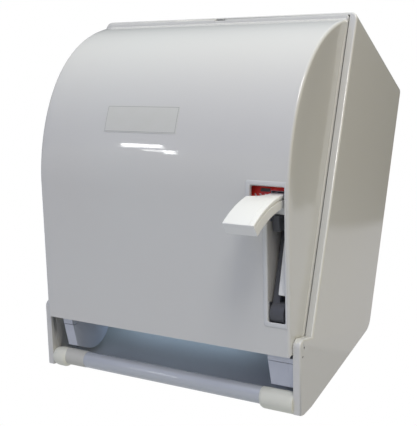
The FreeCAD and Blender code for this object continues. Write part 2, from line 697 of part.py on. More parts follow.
def lever_screw_points():
    """Screw places on the middle line of the carrier's neck."""
    middle = 180 - (LEVER_REAR + CARRIER_NECK) / 2
    return [polar(LEVER_Y, LEVER_Z, share * CARRIER_R, middle) for share in (0.44, 0.83)]


def lever_screw_holes():
    cuts = []
    for y, z in lever_screw_points():
        cuts.append(rod(y, z, LEVER_SCREW, ARM_RIGHT - 2.2, ARM_RIGHT + 1))
        cuts.append(rod(y, z, LEVER_SCREW / 2, ARM_LEFT + 1, ARM_RIGHT))
    return cuts


def lever_axle():
    return rod(LEVER_Y, LEVER_Z, LEVER_PIN / 2, CASE_IN, CASE_OUT)


# Gear train ---------------------------------------------------------------------------------------

def idler_gear():
    gap_angle = MESH_ONE + 180 + 180.0 / PINION_TEETH
    pinion = gear(IDLER_Y, IDLER_Z, PINION_TEETH, SECTOR_LEFT, IDLER_GEAR_LEFT, gap_angle)
    wheel = gear(IDLER_Y, IDLER_Z, IDLER_TEETH, IDLER_GEAR_LEFT, IDLER_GEAR_LEFT + GEAR_WIDTH, MESH_TWO)
    boss = rod(IDLER_Y, IDLER_Z, 7.0, IDLER_GEAR_LEFT, CASE_SPLIT - GAP)
    bore = rod(IDLER_Y, IDLER_Z, AXLE / 2 + RUN, SECTOR_LEFT - 1, CASE_SPLIT)
    return pinion.fuse([wheel, boss]).cut(bore)


def idler_axle():
    return rod(IDLER_Y, IDLER_Z, AXLE / 2, CASE_IN, CASE_OUT)


def clutch_gear():
    gap_angle = MESH_TWO + 180 + 180.0 / CLUTCH_TEETH
    wheel = gear(FEED_Y, FEED_Z, CLUTCH_TEETH, IDLER_GEAR_LEFT - 0.2, IDLER_GEAR_LEFT + GEAR_WIDTH + 0.2,
                 gap_angle)
    boss = rod(FEED_Y, FEED_Z, 9.0, IDLER_GEAR_LEFT + GEAR_WIDTH, IDLER_GEAR_LEFT + CLUTCH_LENGTH)
    seat = rod(FEED_Y, FEED_Z, CLUTCH_SEAT / 2, IDLER_GEAR_LEFT - 1, CASE_OUT)
    return wheel.fuse(boss).cut(seat)


def one_way_clutch():
    """The roller clutch pressed into the gear, which lets the shaft overrun."""
    shell = rod(FEED_Y, FEED_Z, CLUTCH_SEAT / 2, IDLER_GEAR_LEFT - 0.2, IDLER_GEAR_LEFT + CLUTCH_LENGTH)
    return shell.cut(rod(FEED_Y, FEED_Z, SHAFT / 2 + RUN, IDLER_GEAR_LEFT - 1, CASE_OUT))


# Cheeks -------------------------------------------------------------------------------------------

def cheek_outline(inset):
    bottom = arc(CHEEK_Y, CHEEK_Z, CHEEK_R - inset, 0, CHEEK_ROUND_END, 10)
    points = [(CHEEK_TOE_Y + inset, CHEEK_TOE_Z + inset), (CHEEK_KNEE_Y + inset, CHEEK_KNEE_Z)]
    points += [(cheek_front(CHEEK_TOP) + inset, CHEEK_TOP - inset)]
    points += [(CHEEK_TOP_REAR_Y - inset, CHEEK_TOP - inset), (CHEEK_NECK_Y, FOOT_HIGH - inset)]
    points += [(-WALL - FOOT_DEEP, FOOT_HIGH - inset)]
    points += [(-WALL - FOOT_DEEP, FOOT_LOW + inset), (CHEEK_Y + CHEEK_R - inset, FOOT_LOW + inset)]
    return points + bottom


def cheek_solid(x0, x1, inset=0.0):
    solid = prism(cheek_outline(inset), x0, x1)
    return solid.cut(rod(HINGE_Y, HINGE_Z, COVER_SWEEP, x0 - 1, x1 + 1))


def rear_foot(x0, x1):
    """The foot of a cheek on the rear wall."""
    return box(x0, x1, -WALL - FOOT_DEEP, -WALL, FOOT_LOW, FOOT_HIGH)


def left_cheek():
    plate = cheek_solid(LEFT_OUT, LEFT_IN)
    pocket = cheek_solid(LEFT_OUT - 1, LEFT_IN - SKIN, SKIN)
    cheek = plate.cut(pocket).fuse(rear_foot(LEFT_OUT, LEFT_IN + FOOT_WIDTH))
    bush = rod(FEED_Y, FEED_Z, BUSH / 2 + 3, LEFT_OUT + 3, LEFT_IN)
    cheek = cheek.fuse(bush).cut(rod(FEED_Y, FEED_Z, BUSH / 2, LEFT_OUT, LEFT_IN + 1))
    cheek = cheek.fuse(rod(ROCKER_Y, ROCKER_Z, ROCKER_PIN / 2, LEFT_IN - 1, -ROCKER_IN))
    return cut_foot_holes(cheek, LEFT_IN + FOOT_WIDTH / 2)


def cut_foot_holes(cheek, x):
    for z in (FOOT_LOW + 10, FOOT_HIGH - 10):
        cheek = cheek.cut(rod_y(x, z, SCREW / 2, -WALL - FOOT_DEEP - 1, -WALL + 1))
    return cheek


def gear_case():
    plate = cheek_solid(CASE_IN, CASE_IN + SKIN)
    ring = cheek_solid(CASE_IN, CASE_SPLIT).cut(cheek_solid(CASE_IN, CASE_SPLIT + 1, SKIN))
    front = FACE_TOP_Y - 60
    ring = ring.cut(box(CASE_IN - 1, CASE_SPLIT + 1, front, CHEEK_TOP_REAR_Y, SLOT_BOTTOM - 3, HOOD_TOP))
    case = plate.fuse(ring).fuse(rear_foot(CASE_IN - FOOT_WIDTH, CASE_SPLIT))
    case = case.fuse(rod(LEVER_Y, LEVER_Z, BOSS_R, CASE_IN, CASE_IN + SKIN))
    for y, z in case_screw_points():
        case = case.fuse(rod(y, z, 4.0, CASE_IN, CASE_SPLIT))
        case = case.cut(rod(y, z, SCREW / 2, CASE_SPLIT - 9, CASE_SPLIT + 1))
    case = case.cut(rod(LEVER_Y, LEVER_Z, LEVER_PIN / 2, CASE_IN - 1, CASE_IN + SKIN + 1))
    case = case.cut(rod(IDLER_Y, IDLER_Z, AXLE / 2, CASE_IN - 1, CASE_IN + SKIN + 1))
    case = case.cut(rod(FEED_Y, FEED_Z, BUSH / 2, CASE_IN - 1, CASE_IN + SKIN + 1))
    case = case.fuse(rod(ROCKER_Y, ROCKER_Z, ROCKER_PIN / 2, ROCKER_IN, CASE_IN + 1))
    case = case.fuse(hood())
    return cut_foot_holes(case, CASE_IN - FOOT_WIDTH / 2)


def hood():
    """The plate above the lever arm, seen through the top of the opening, with its stem."""
    left = WIDE_LEFT - HOOD_BESIDE_OPENING
    plate = box(left, CASE_OUT - 0.4, HOOD_Y, HOOD_Y + HOOD_THICK, CHEEK_TOP, HOOD_TOP)
    low = CHEEK_TOP - HOOD_STEM_LOW
    stem = prism([(HOOD_Y, CHEEK_TOP), (HOOD_Y, HOOD_TOP), (LEVER_Y, HOOD_TOP), (LEVER_Y, low),
                  (HOOD_Y + HOOD_STEM_BACK, low)], CASE_IN, CASE_IN + SKIN)
    room = rod(LEVER_Y, LEVER_Z, LEVER_R + 1.2, ARM_LEFT - 1.2, CASE_OUT)
    return plate.cut(room).fuse(stem)


def caution_decal():
    left = WIDE_LEFT - HOOD_BESIDE_OPENING + 1
    sheet = box(left, CASE_OUT - 1, HOOD_Y - SHEET, HOOD_Y, CHEEK_TOP + 0.5, HOOD_TOP - 0.5)
    return sheet.cut(rod(LEVER_Y, LEVER_Z, LEVER_R + 1.6, ARM_LEFT - 1.6, CASE_OUT))


def case_screw_points():
    low = polar(CHEEK_Y, CHEEK_Z, CHEEK_R - 6, -75)
    return [low, (CHEEK_TOP_REAR_Y + 5, FOOT_HIGH - 13), (CHEEK_NECK_Y - 10, FOOT_LOW + 13)]


def gear_case_cover():
    plate = cheek_solid(CASE_SPLIT, CASE_OUT)
    plate = plate.fuse(rod(LEVER_Y, LEVER_Z, BOSS_R, CASE_SPLIT, CASE_OUT))
    skirt_top = COVER_BOTTOM_Z - COVER_GAP
    below = box(CASE_OUT, EAR_IN, FACE_TOP_Y, CHEEK_NECK_Y, 0, skirt_top)
    plate = plate.fuse(cheek_solid(CASE_OUT, EAR_IN).common(below))
    for y, z in case_screw_points():
        plate = plate.cut(rod(y, z, SCREW / 2, CASE_SPLIT - 1, EAR_IN + 1))
        plate = plate.cut(rod(y, z, SCREW_HEAD / 2, CASE_OUT - 2, EAR_IN + 1))
    plate = plate.cut(rod(LEVER_Y, LEVER_Z, LEVER_PIN / 2, CASE_SPLIT - 1, CASE_OUT + 1))
    plate = plate.cut(rod(IDLER_Y, IDLER_Z, AXLE / 2, CASE_SPLIT - 1, CASE_OUT + 1))
    return plate.cut(rod(FEED_Y, FEED_Z, SHAFT / 2 + RUN, CASE_SPLIT - 1, CASE_OUT + 1))


def case_screws():
    group = []
    for y, z in case_screw_points():
        head = rod(y, z, SCREW_HEAD / 2, CASE_OUT - 2, CASE_OUT)
        head = head.cut(box(CASE_OUT - 1, CASE_OUT + 1, y - 2.4, y + 2.4, z - 0.5, z + 0.5))
        group.append(head.fuse(rod(y, z, SCREW / 2, CASE_SPLIT - 8, CASE_OUT - 2)))
    return Part.makeCompound(group)


def chassis_screws():
    return Part.makeCompound([screw_y(x, z, -WALL - FOOT_DEEP, FOOT_DEEP + WALL - 0.5)
                              for x, z in chassis_points()])


def cross_tie():
    """The plate that ties the cheeks together behind the towel path."""
    return box(LEFT_IN, CASE_IN, TIE_Y, TIE_Y + TIE_THICK, FOOT_LOW + 4, FOOT_HIGH - 6)


def towel_guide():
    """The chute wall behind the feed roller, bent back at the top."""
    back = GUIDE_Y + GUIDE_THICK
    lean = 0.5 * (GUIDE_TOP - GUIDE_BEND)
    return prism([(GUIDE_Y, GUIDE_LOW), (back, GUIDE_LOW), (back, GUIDE_BEND), (back + lean, GUIDE_TOP),
                  (GUIDE_Y + lean, GUIDE_TOP), (GUIDE_Y, GUIDE_BEND)], LEFT_IN, CASE_IN)


def tear_bar():
    """The toothed steel strip under the nip."""
    front = HINGE_Y + COVER_SWEEP + 0.3
    strip = box(LEFT_IN, CASE_IN, front, front + TEAR_THICK, TEAR_LOW, TEAR_LOW + TEAR_HEIGHT)
    teeth = []
    for n in range(int((CASE_IN - LEFT_IN) / TOOTH_PITCH)):
        x = LEFT_IN + TOOTH_PITCH * n
        tip = V(x + TOOTH_PITCH / 2, front, TEAR_LOW - TOOTH_DROP)
        start = V(x, front, TEAR_LOW)
        wire = Part.makePolygon([start, V(x + TOOTH_PITCH, front, TEAR_LOW), tip, start])
        teeth.append(Part.Face(wire).extrude(V(0, TEAR_THICK, 0)))
    return strip.fuse(teeth)


# Feed and pressure rollers ------------------------------------------------------------------------

def bushing(x0, x1, flange0, flange1):
    sleeve = rod(FEED_Y, FEED_Z, BUSH / 2, x0, x1)
    sleeve = sleeve.fuse(rod(FEED_Y, FEED_Z, BUSH / 2 + 2, flange0, flange1))
    return sleeve.cut(rod(FEED_Y, FEED_Z, SHAFT / 2 + RUN, min(x0, flange0) - 1, max(x1, flange1) + 1))


def feed_shaft():
    return rod(FEED_Y, FEED_Z, SHAFT / 2, LEFT_OUT + 0.5, CASE_OUT - 0.2)


def feed_roller():
    tube = rod(FEED_Y, FEED_Z, CORE / 2, -CORE_HALF, CORE_HALF)
    return tube.cut(rod(FEED_Y, FEED_Z, SHAFT / 2, -CORE_HALF - 1, CORE_HALF + 1))


def grip_centres():
    return [GRIP_PITCH * (n - 1.5) for n in range(4)]


def grip_ring(x):
    ring = rod(FEED_Y, FEED_Z, GRIP / 2, x - GRIP_WIDTH / 2, x + GRIP_WIDTH / 2)
    return ring.cut(rod(FEED_Y, FEED_Z, CORE / 2, x - GRIP_WIDTH, x + GRIP_WIDTH))


def pressure_roller(x):
    ring = rod(PRESS_Y, PRESS_Z, PRESS / 2, x - GRIP_WIDTH / 2, x + GRIP_WIDTH / 2)
    return ring.cut(rod(PRESS_Y, PRESS_Z, PRESS_AXLE / 2 + RUN, x - GRIP_WIDTH, x + GRIP_WIDTH))


def pressure_axle():
    return rod(PRESS_Y, PRESS_Z, PRESS_AXLE / 2, -ROCKER_OUT, ROCKER_OUT)


def pressure_rocker():
    """Two side arms and the web that carry the pressure roller axle."""
    frame = None
    for x0 in (-ROCKER_OUT, ROCKER_IN):
        x1 = x0 + ROCKER_OUT - ROCKER_IN
        arm = prism([(ROCKER_Y - ROCKER_ARM, ROCKER_Z), (ROCKER_Y + ROCKER_ARM, ROCKER_Z),
                     (PRESS_Y + ROCKER_ARM, PRESS_Z), (PRESS_Y - ROCKER_ARM, PRESS_Z)], x0, x1)
        ends = [rod(ROCKER_Y, ROCKER_Z, ROCKER_ARM, x0, x1), rod(PRESS_Y, PRESS_Z, ROCKER_ARM, x0, x1)]
        arm = arm.fuse(ends)
        frame = frame.fuse(arm) if frame else arm
    frame = frame.fuse(box(-ROCKER_OUT, ROCKER_OUT, WEB_Y, WEB_Y + 2, PRESS_Z + PRESS / 2 + 2, ROCKER_Z))
    for x0 in (-ROCKER_OUT - 1, ROCKER_IN - 1):
        frame = frame.cut(rod(ROCKER_Y, ROCKER_Z, ROCKER_PIN / 2 + RUN, x0, x0 + 5))
        frame = frame.cut(rod(PRESS_Y, PRESS_Z, PRESS_AXLE / 2, x0, x0 + 5))
    return frame


def spring_bar():
    """The fixed bar that the pressure springs push against."""
    rear = SPRING_BAR_Y + SPRING_BAR_THICK
    return box(LEFT_IN, CASE_IN, SPRING_BAR_Y, rear, SPRING_BAR_LOW, SPRING_BAR_HIGH)


def pressure_spring(x):
    seat = SPRING_BAR_Y + SPRING_BAR_THICK
    spring = coil(3.5, 0.9, 2.4, WEB_Y - seat)
    spring.rotate(V(0, 0, 0), V(1, 0, 0), -90)
    spring.translate(V(x, seat, (SPRING_BAR_LOW + SPRING_BAR_HIGH) / 2))
    return spring


# Roll holder --------------------------------------------------------------------------------------

FLANGE_X = ROLL_WIDTH / 2 + 0.5
STUB_END = FLANGE_X - PLUG_LENGTH + 1.0

def arm_bracket(side):
    low = HUB_Z - BRACKET_HALF
    high = HUB_Z + BRACKET_HALF
    foot = box(ARM_X - 26, ARM_X + 4, -WALL - FOOT_DEEP, -WALL, low, high)
    for z in (low, high - BRACKET_LEAF):
        foot = foot.fuse(box(ARM_X - 5, ARM_X + 4, ARM_PIVOT_Y - 5, -WALL, z, z + BRACKET_LEAF))
    foot = foot.cut(rod_z(ARM_X, ARM_PIVOT_Y, ARM_PIN / 2, low - 1, high + 1))
    for x, z in arm_foot_points()[2:]:
        foot = foot.cut(rod_y(x, z, SCREW / 2, -WALL - FOOT_DEEP - 1, 1))
    return foot if side > 0 else mirrored(foot)


def arm_pin(side):
    high = HUB_Z + BRACKET_HALF
    pin = rod_z(ARM_X, ARM_PIVOT_Y, ARM_PIN / 2, HUB_Z - BRACKET_HALF, high + 1)
    pin = pin.fuse(rod_z(ARM_X, ARM_PIVOT_Y, ARM_PIN / 2 + 1.5, high, high + 2))
    return pin if side > 0 else mirrored(pin)


def arm_screws():
    return Part.makeCompound([screw_y(x, z, -WALL - FOOT_DEEP, FOOT_DEEP + WALL - 0.5)
                              for x, z in arm_foot_points()])


def roll_arm(side):
    """The swinging arm with the stub that the core hub turns on."""
    inner = ARM_X - HOLDER_THICK / 2
    plate = prism([(ARM_PIVOT_Y, HUB_Z - HOLDER_HALF), (ARM_PIVOT_Y, HUB_Z + HOLDER_HALF),
                   (HUB_Y - 2, HUB_Z + HOLDER_HALF - 2), (HUB_Y - 12, HUB_Z),
                   (HUB_Y - 2, HUB_Z - HOLDER_HALF + 2)], inner, inner + HOLDER_THICK)
    room = BRACKET_HALF - BRACKET_LEAF - GAP
    knuckle = rod_z(ARM_X, ARM_PIVOT_Y, ARM_PIN / 2 + 2, HUB_Z - room, HUB_Z + room)
    stub = rod(HUB_Y, HUB_Z, HUB_STUB / 2, STUB_END, ARM_X)
    arm = plate.fuse([knuckle, stub])
    arm = arm.cut(rod_z(ARM_X, ARM_PIVOT_Y, ARM_PIN / 2 + RUN, HUB_Z - room - 1, HUB_Z + room + 1))
    return arm if side > 0 else mirrored(arm)


def core_hub(side):
    flange = rod(HUB_Y, HUB_Z, HUB_FLANGE / 2, FLANGE_X, FLANGE_X + FLANGE_THICK)
    nose = Part.makeCone(CORE_PLUG / 2 - 3, CORE_PLUG / 2, NOSE_LENGTH,
                         V(FLANGE_X - PLUG_LENGTH, HUB_Y, HUB_Z), V(1, 0, 0))
    plug = rod(HUB_Y, HUB_Z, CORE_PLUG / 2, FLANGE_X - PLUG_LENGTH + NOSE_LENGTH, FLANGE_X)
    sleeve = rod(HUB_Y, HUB_Z, HUB_STUB / 2 + 3, FLANGE_X, ARM_X - HOLDER_THICK / 2 - GAP)
    hub = flange.fuse([nose, plug, sleeve])
    hub = hub.cut(rod(HUB_Y, HUB_Z, HUB_STUB / 2 + RUN, STUB_END - 0.5, ARM_X))
    return hub if side > 0 else mirrored(hub)


# Bottom bar ---------------------------------------------------------------------------------------

def bar_socket(side):
    """A boss on an ear that holds one end of the bar; the left one goes on as a slimmer sleeve."""
    mouth = BAR_HALF + side * BAR_X
    root = mouth if side > 0 else EAR_IN - DOME_LENGTH
    socket = rod(BAR_Y, BAR_Z - SOCKET_DROP, SOCKET / 2, root, EAR_IN)
    if side < 0:
        socket = socket.fuse(rod(BAR_Y, BAR_Z, SLEEVE / 2, mouth, root + 1))
    socket = socket.cut(rod(BAR_Y, BAR_Z, BAR / 2 + RUN, mouth - 1, mouth + SOCKET_DEPTH + GAP))
    return socket if side > 0 else mirrored(socket)


def bottom_bar():
    end = BAR_HALF + SOCKET_DEPTH
    tube = rod(BAR_Y, BAR_Z, BAR / 2, BAR_X - end, BAR_X + end)
    return tube.cut(rod(BAR_Y, BAR_Z, BAR / 2 - BAR_WALL, BAR_X - end - 1, BAR_X + end + 1))


# Latch --------------------------------------------------------------------------------------------

def latch_guide():
    """The channel that the bolt slides in, hung from the housing's top."""
    half = LATCH_WIDTH / 2
    outer = half + 5
    front = LATCH_Y - LATCH_THICK / 2
    back = LATCH_Y + LATCH_THICK / 2 + GAP
    hanger = back + GUIDE_WALL
    guide = box(-outer, outer, back, hanger, GUIDE_BOTTOM, HOOK_LOW - 2)
    for x0, x1 in ((half + GAP, outer), (-outer, -half - GAP)):
        guide = guide.fuse(box(x0, x1, front, back, GUIDE_BOTTOM, HOOK_LOW - 2))
    guide = guide.fuse(box(-outer, outer, front, back, GUIDE_BOTTOM, GUIDE_BOTTOM + GUIDE_WALL))
    high = top_at(hanger + GUIDE_WALL) - WALL
    return guide.fuse(box(-outer, outer, hanger, hanger + GUIDE_WALL, GUIDE_BOTTOM, high))


def latch_bolt():
    half = LATCH_WIDTH / 2
    front = LATCH_Y - LATCH_THICK / 2
    bolt = box(-half, half, front, front + LATCH_THICK, LATCH_LOW, LATCH_TOP)
    thumb = box(-half, half, front - 3, front, LATCH_LOW + 4, LATCH_LOW + 8)
    return bolt.fuse(thumb)


def latch_spring():
    seat = GUIDE_BOTTOM + GUIDE_WALL
    spring = coil(1.8, 0.6, 1.8, LATCH_LOW - seat)
    spring.translate(V(0, LATCH_Y, seat))
    return spring


def lever_spring():
    """The spring from the lever's rear edge to its post in the gear case."""
    y0, z0 = polar(LEVER_Y, LEVER_Z, 60, 180 - LEVER_REAR - 4)
    y1, z1 = case_screw_points()[1]
    x = SPOKE_LEFT + 3
    length = math.hypot(y1 - y0, z1 - z0) - 6
    spring = coil(3.5, 1.0, 3.0, length)
    spring.rotate(V(0, 0, 0), V(1, 0, 0), math.degrees(math.atan2(-(y1 - y0), z1 - z0)))
    spring.translate(V(x, y0, z0))
    return spring


def main():
    os.makedirs("parts", exist_ok=True)
    sides = (("left", -1), ("right", 1))
    save("back_housing", back_housing())
    save("front_cover", front_cover())
    save("latch_keeper", latch_keeper())
    save("label_plate", label_plate())
    for name, side in sides:
        save("edge_shroud_" + name, edge_shroud(side))
    save("lever", lever())
    save("lever_carrier", lever_carrier())
    save("sector_gear", sector_gear())
    save("lever_screws", lever_screws())
    save("lever_axle", lever_axle())
    save("lever_spring", lever_spring())
    save("idler_gear", idler_gear())
    save("idler_axle", idler_axle())
    save("clutch_gear", clutch_gear())
    save("one_way_clutch", one_way_clutch())
    save("left_cheek", left_cheek())
    save("gear_case", gear_case())
    save("gear_case_cover", gear_case_cover())
    save("case_screws", case_screws())
    save("chassis_screws", chassis_screws())
    save("caution_decal", caution_decal())
    save("cross_tie", cross_tie())
    save("towel_guide", towel_guide())
    save("tear_bar", tear_bar())
    save("spring_bar", spring_bar())
    save("bushing_left", bushing(LEFT_OUT + 3, LEFT_IN, LEFT_IN, LEFT_IN + 2))
    save("bushing_right", bushing(CASE_IN, CASE_IN + SKIN, CASE_IN - 2, CASE_IN))
    save("feed_shaft", feed_shaft())
    save("feed_roller", feed_roller())
    for n, x in enumerate(grip_centres()):
        save("grip_ring_%d" % (n + 1), grip_ring(x))
    save("pressure_rocker", pressure_rocker())
    save("pressure_axle", pressure_axle())
    for n, x in enumerate(grip_centres()):
        save("pressure_roller_%d" % (n + 1), pressure_roller(x))
    for name, side in sides:
        save("pressure_spring_" + name, pressure_spring(side * GRIP_PITCH))
        save("hinge_pin_" + name, hinge_pin(side))
        save("arm_bracket_" + name, arm_bracket(side))
        save("arm_pin_" + name, arm_pin(side))
        save("roll_arm_" + name, roll_arm(side))
        save("core_hub_" + name, core_hub(side))
        save("bar_socket_" + name, bar_socket(side))
    save("arm_screws", arm_screws())
    save("bottom_bar", bottom_bar())
    save("latch_guide", latch_guide())
    save("latch_bolt", latch_bolt())
    save("latch_spring", latch_spring())


main()
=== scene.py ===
"""Looks of the lever paper towel dispenser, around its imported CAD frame.

Metres, +X to the right seen from the front, -Y out into the room, +Z up. The origin is the middle
of the wall screw pattern, so a height above the ears' tips is written through up().
"""
import json
import math

import bmesh
import bpy
import numpy as np
from mathutils import Matrix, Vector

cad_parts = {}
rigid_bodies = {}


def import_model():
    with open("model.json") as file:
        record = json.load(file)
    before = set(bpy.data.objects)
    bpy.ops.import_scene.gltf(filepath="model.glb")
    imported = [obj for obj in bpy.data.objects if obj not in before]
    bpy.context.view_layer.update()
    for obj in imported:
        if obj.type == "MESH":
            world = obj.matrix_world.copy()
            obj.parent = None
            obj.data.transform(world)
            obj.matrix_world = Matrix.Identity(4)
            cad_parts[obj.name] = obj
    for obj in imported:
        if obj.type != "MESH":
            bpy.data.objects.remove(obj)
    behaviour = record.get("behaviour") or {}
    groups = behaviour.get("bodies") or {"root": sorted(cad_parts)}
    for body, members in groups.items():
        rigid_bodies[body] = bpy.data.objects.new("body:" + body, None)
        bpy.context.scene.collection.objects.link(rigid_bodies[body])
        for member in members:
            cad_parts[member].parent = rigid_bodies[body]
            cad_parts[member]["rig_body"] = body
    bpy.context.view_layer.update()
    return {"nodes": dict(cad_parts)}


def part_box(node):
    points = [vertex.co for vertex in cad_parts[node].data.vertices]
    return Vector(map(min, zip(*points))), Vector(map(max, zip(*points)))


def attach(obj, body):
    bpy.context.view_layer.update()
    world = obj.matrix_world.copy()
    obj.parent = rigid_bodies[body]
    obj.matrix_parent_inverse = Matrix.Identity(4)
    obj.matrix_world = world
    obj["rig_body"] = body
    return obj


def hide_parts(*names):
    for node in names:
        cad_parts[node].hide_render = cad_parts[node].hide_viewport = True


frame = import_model()

MM = 0.001
TIPS = 240.0
# Cover, in millimetres with heights above the ears' tips
COVER_HALF = 154.0
COVER_REAR = -143.5
COVER_ROUND = 3.0
COVER_CORNER = 2.5
COVER_WALL = 3.0
FACE_FOOT = (-173.6, 52.9)
FACE_HEAD = (-224.6, 199.0)
FOOT_FADE = 12.0
CROWN = (-148.0, 403.0)
CROWN_ANGLE = 24.6
LOWER_PULL = 38.0
UPPER_PULL = 120.0
COVE_R = 2.2
COVE_RISE = 3.0
LIP_FRONT = -150.5
LIP_LOW = 400.6
LIP_TOP = 406.5
LIP_CORNER = 3.1
KEY_HALF = 6.75
KEY_LOW = 405.4
FLANGE_FRONT = -151.6
FLANGE_REAR = -148.3
FLANGE_STEP = 0.7
# Lever opening, as (left, right, bottom, top); the skin is cut away LAP further out, under the border
WIDE = (112.5, 149.6, 179.0, 210.5)
SLOT = (130.5, 149.6, 84.5, 210.5)
LAP = 1.5
LAP_RIGHT = 1.0
BORDER = 4.4
BORDER_RIGHT = 2.0
BORDER_RISE = 0.8
JAMB_LOW = 104.1
JAMB_REAR = -181.0
JAMB_WALL = 2.1
# Lever, with its angles in degrees up from -Y about the pivot
PIVOT = (-176.6, 95.3)
LEVER_IN = 105.0
LEVER_OUT = 118.4
LEVER_ROUND = 0.9
LEVER_TIP = 37.0
LEVER_REAR = 97.0
PADDLE_LEFT = 113.6
ARM_LEFT = 132.2
ARM_RIGHT = 146.8
TOP_LINE_IN = 5.2
TOP_LINE_DEPTH = 0.28
GROOVE_TOP = 115.2
ROOT_IN = 96.6
ROOT_FRONT = 71.5
SPOKE_LEFT = 139.7
SPOKE_RISE = 15.9
SPOKE_AHEAD = 13.1
SPOKE_LEAN = 6.2
SPOKE_REAR = (-163.9, -174.6)
# Bottom bar and its two sockets
BAR = (-145.7, 11.1)
BAR_R = 9.0
BAR_WALL = 1.5
BAR_HALF = 112.8
BAR_SHIFT = 3.8
BAR_HIDDEN = 12.0
BORE_PLAY = 0.05
SOCKET_R = 10.9
SOCKET_DROP = 1.5
SLEEVE_R = 9.9
DOME_LENGTH = 19.4
EAR_IN = 154.4
# Two dimples in the right ear's outside, above and below the cover's hinge
HINGE = (-163.6, 60.4)
DIMPLE_APART = 9.0
DIMPLE_R = 1.17
DIMPLE_FLOOR = (161.6, 162.1)
# Label, as (left, right, bottom, top), and how far in the line round its edge starts and ends, in metres
LABEL = (-68.6, 22.6, 255.8, 284.6)
LABEL_LINE = (0.0008, 0.0012)
# Decal: opposite corners of its barred field and of its panel, as (x, height) in the frame's metres
DECAL_BARS = ((0.1135, -0.0415), (0.1500, -0.0355))
DECAL_PANEL = ((0.1195, -0.0335), (0.1300, -0.0300))
BARS_PER_METRE = 170.0
BARS_SLOPE = 0.9


def up(z):
    """Height above the ears' tips in millimetres to the frame's height in millimetres."""
    return z - TIPS


# Mesh helpers -------------------------------------------------------------------------------------

def grid_faces(rows, columns, round_rows=False, round_columns=False):
    """Quads between neighbouring points of a rows x columns grid, as index fours."""
    index = np.arange(rows * columns).reshape(rows, columns)
    if round_rows:
        index = np.vstack([index, index[:1]])
    if round_columns:
        index = np.hstack([index, index[:, :1]])
    quads = [index[:-1, :-1], index[:-1, 1:], index[1:, 1:], index[1:, :-1]]
    return np.stack(quads, -1).reshape(-1, 4)


def capped_faces(rows, columns):
    """Quads round a tube of rows x columns points, and one face over each of its ends."""
    faces = grid_faces(rows, columns, round_columns=True).tolist()
    faces.append(list(range(columns))[::-1])
    faces.append(list(range((rows - 1) * columns, rows * columns)))
    return faces


def piece(name, parts, material, body, weld=0.02, sharp=32.0):
    """One object from (points in mm, faces) pairs, welded, shaded smooth and given its material and body."""
    mesh = bpy.data.meshes.new(name)
    points = np.vstack([p.reshape(-1, 3) for p, _ in parts]) * MM
    points[:, 2] -= TIPS * MM
    faces = []
    start = 0
    for p, f in parts:
        faces += [[int(i) + start for i in face] for face in f]
        start += p.reshape(-1, 3).shape[0]
    mesh.from_pydata(points.tolist(), [], faces)
    close_mesh(mesh, weld * MM)
    shade(mesh, sharp)
    thing = bpy.data.objects.new(name, mesh)
    bpy.context.scene.collection.objects.link(thing)
    mesh.materials.append(material)
    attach(thing, body)
    return thing


def close_mesh(mesh, distance):
    """Joins doubled points, drops faces without area and turns every face outwards."""
    work = bmesh.new()
    work.from_mesh(mesh)
    bmesh.ops.remove_doubles(work, verts=work.verts, dist=distance)
    bmesh.ops.dissolve_degenerate(work, dist=distance / 4, edges=work.edges)
    bmesh.ops.recalc_face_normals(work, faces=work.faces)
    work.to_mesh(mesh)
    work.free()


def shade(mesh, sharp):
    """Smooth shading, with an edge kept sharp where its faces turn by more than this many degrees."""
    mesh.polygons.foreach_set("use_smooth", np.ones(len(mesh.polygons), bool))
    mesh.set_sharp_from_angle(angle=math.radians(sharp))


def soften(thing, width, segments=2, angle=40.0):
    """A small rounding on every edge sharper than the angle."""
    bevel = thing.modifiers.new("edge rounding", "BEVEL")
    bevel.width = width * MM
    bevel.segments = segments
    bevel.limit_method = "ANGLE"
    bevel.angle_limit = math.radians(angle)
    bevel.harden_normals = True
    bevel.use_clamp_overlap = True


def thicken(thing, wall):
    """A wall that grows inwards from an outer skin."""
    solid = thing.modifiers.new("wall", "SOLIDIFY")
    solid.thickness = wall * MM
    solid.offset = -1.0
    solid.use_even_offset = True


def dress(node, material, rounding=0.0, sharp=30.0):
    """A merged copy of a CAD node, with whole flat faces, smooth round ones and soft edges."""
    source = frame["nodes"][node]
    mesh = source.data.copy()
    mesh.name = node + "_skin"
    work = bmesh.new()
    work.from_mesh(mesh)
    bmesh.ops.remove_doubles(work, verts=work.verts, dist=0.002 * MM)
    bmesh.ops.dissolve_limit(work, angle_limit=math.radians(0.6), verts=work.verts, edges=work.edges)
    work.to_mesh(mesh)
    work.free()
    if mesh.has_custom_normals:
        mesh.normals_split_custom_set([(0.0, 0.0, 0.0)] * len(mesh.loops))
    mesh.materials.clear()
    mesh.materials.append(material)
    shade(mesh, sharp)
    thing = bpy.data.objects.new(node + "_skin", mesh)
    bpy.context.scene.collection.objects.link(thing)
    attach(thing, source["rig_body"])
    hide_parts(node)
    if rounding:
        soften(thing, rounding)
    return thing


def arc(y, z, radius, start, end, steps):
    """Points of a circle between two angles, which run from the first axis towards the second."""
    a = np.radians(np.linspace(start, end, steps))
    return np.stack([y + radius * np.cos(a), z + radius * np.sin(a)], 1)


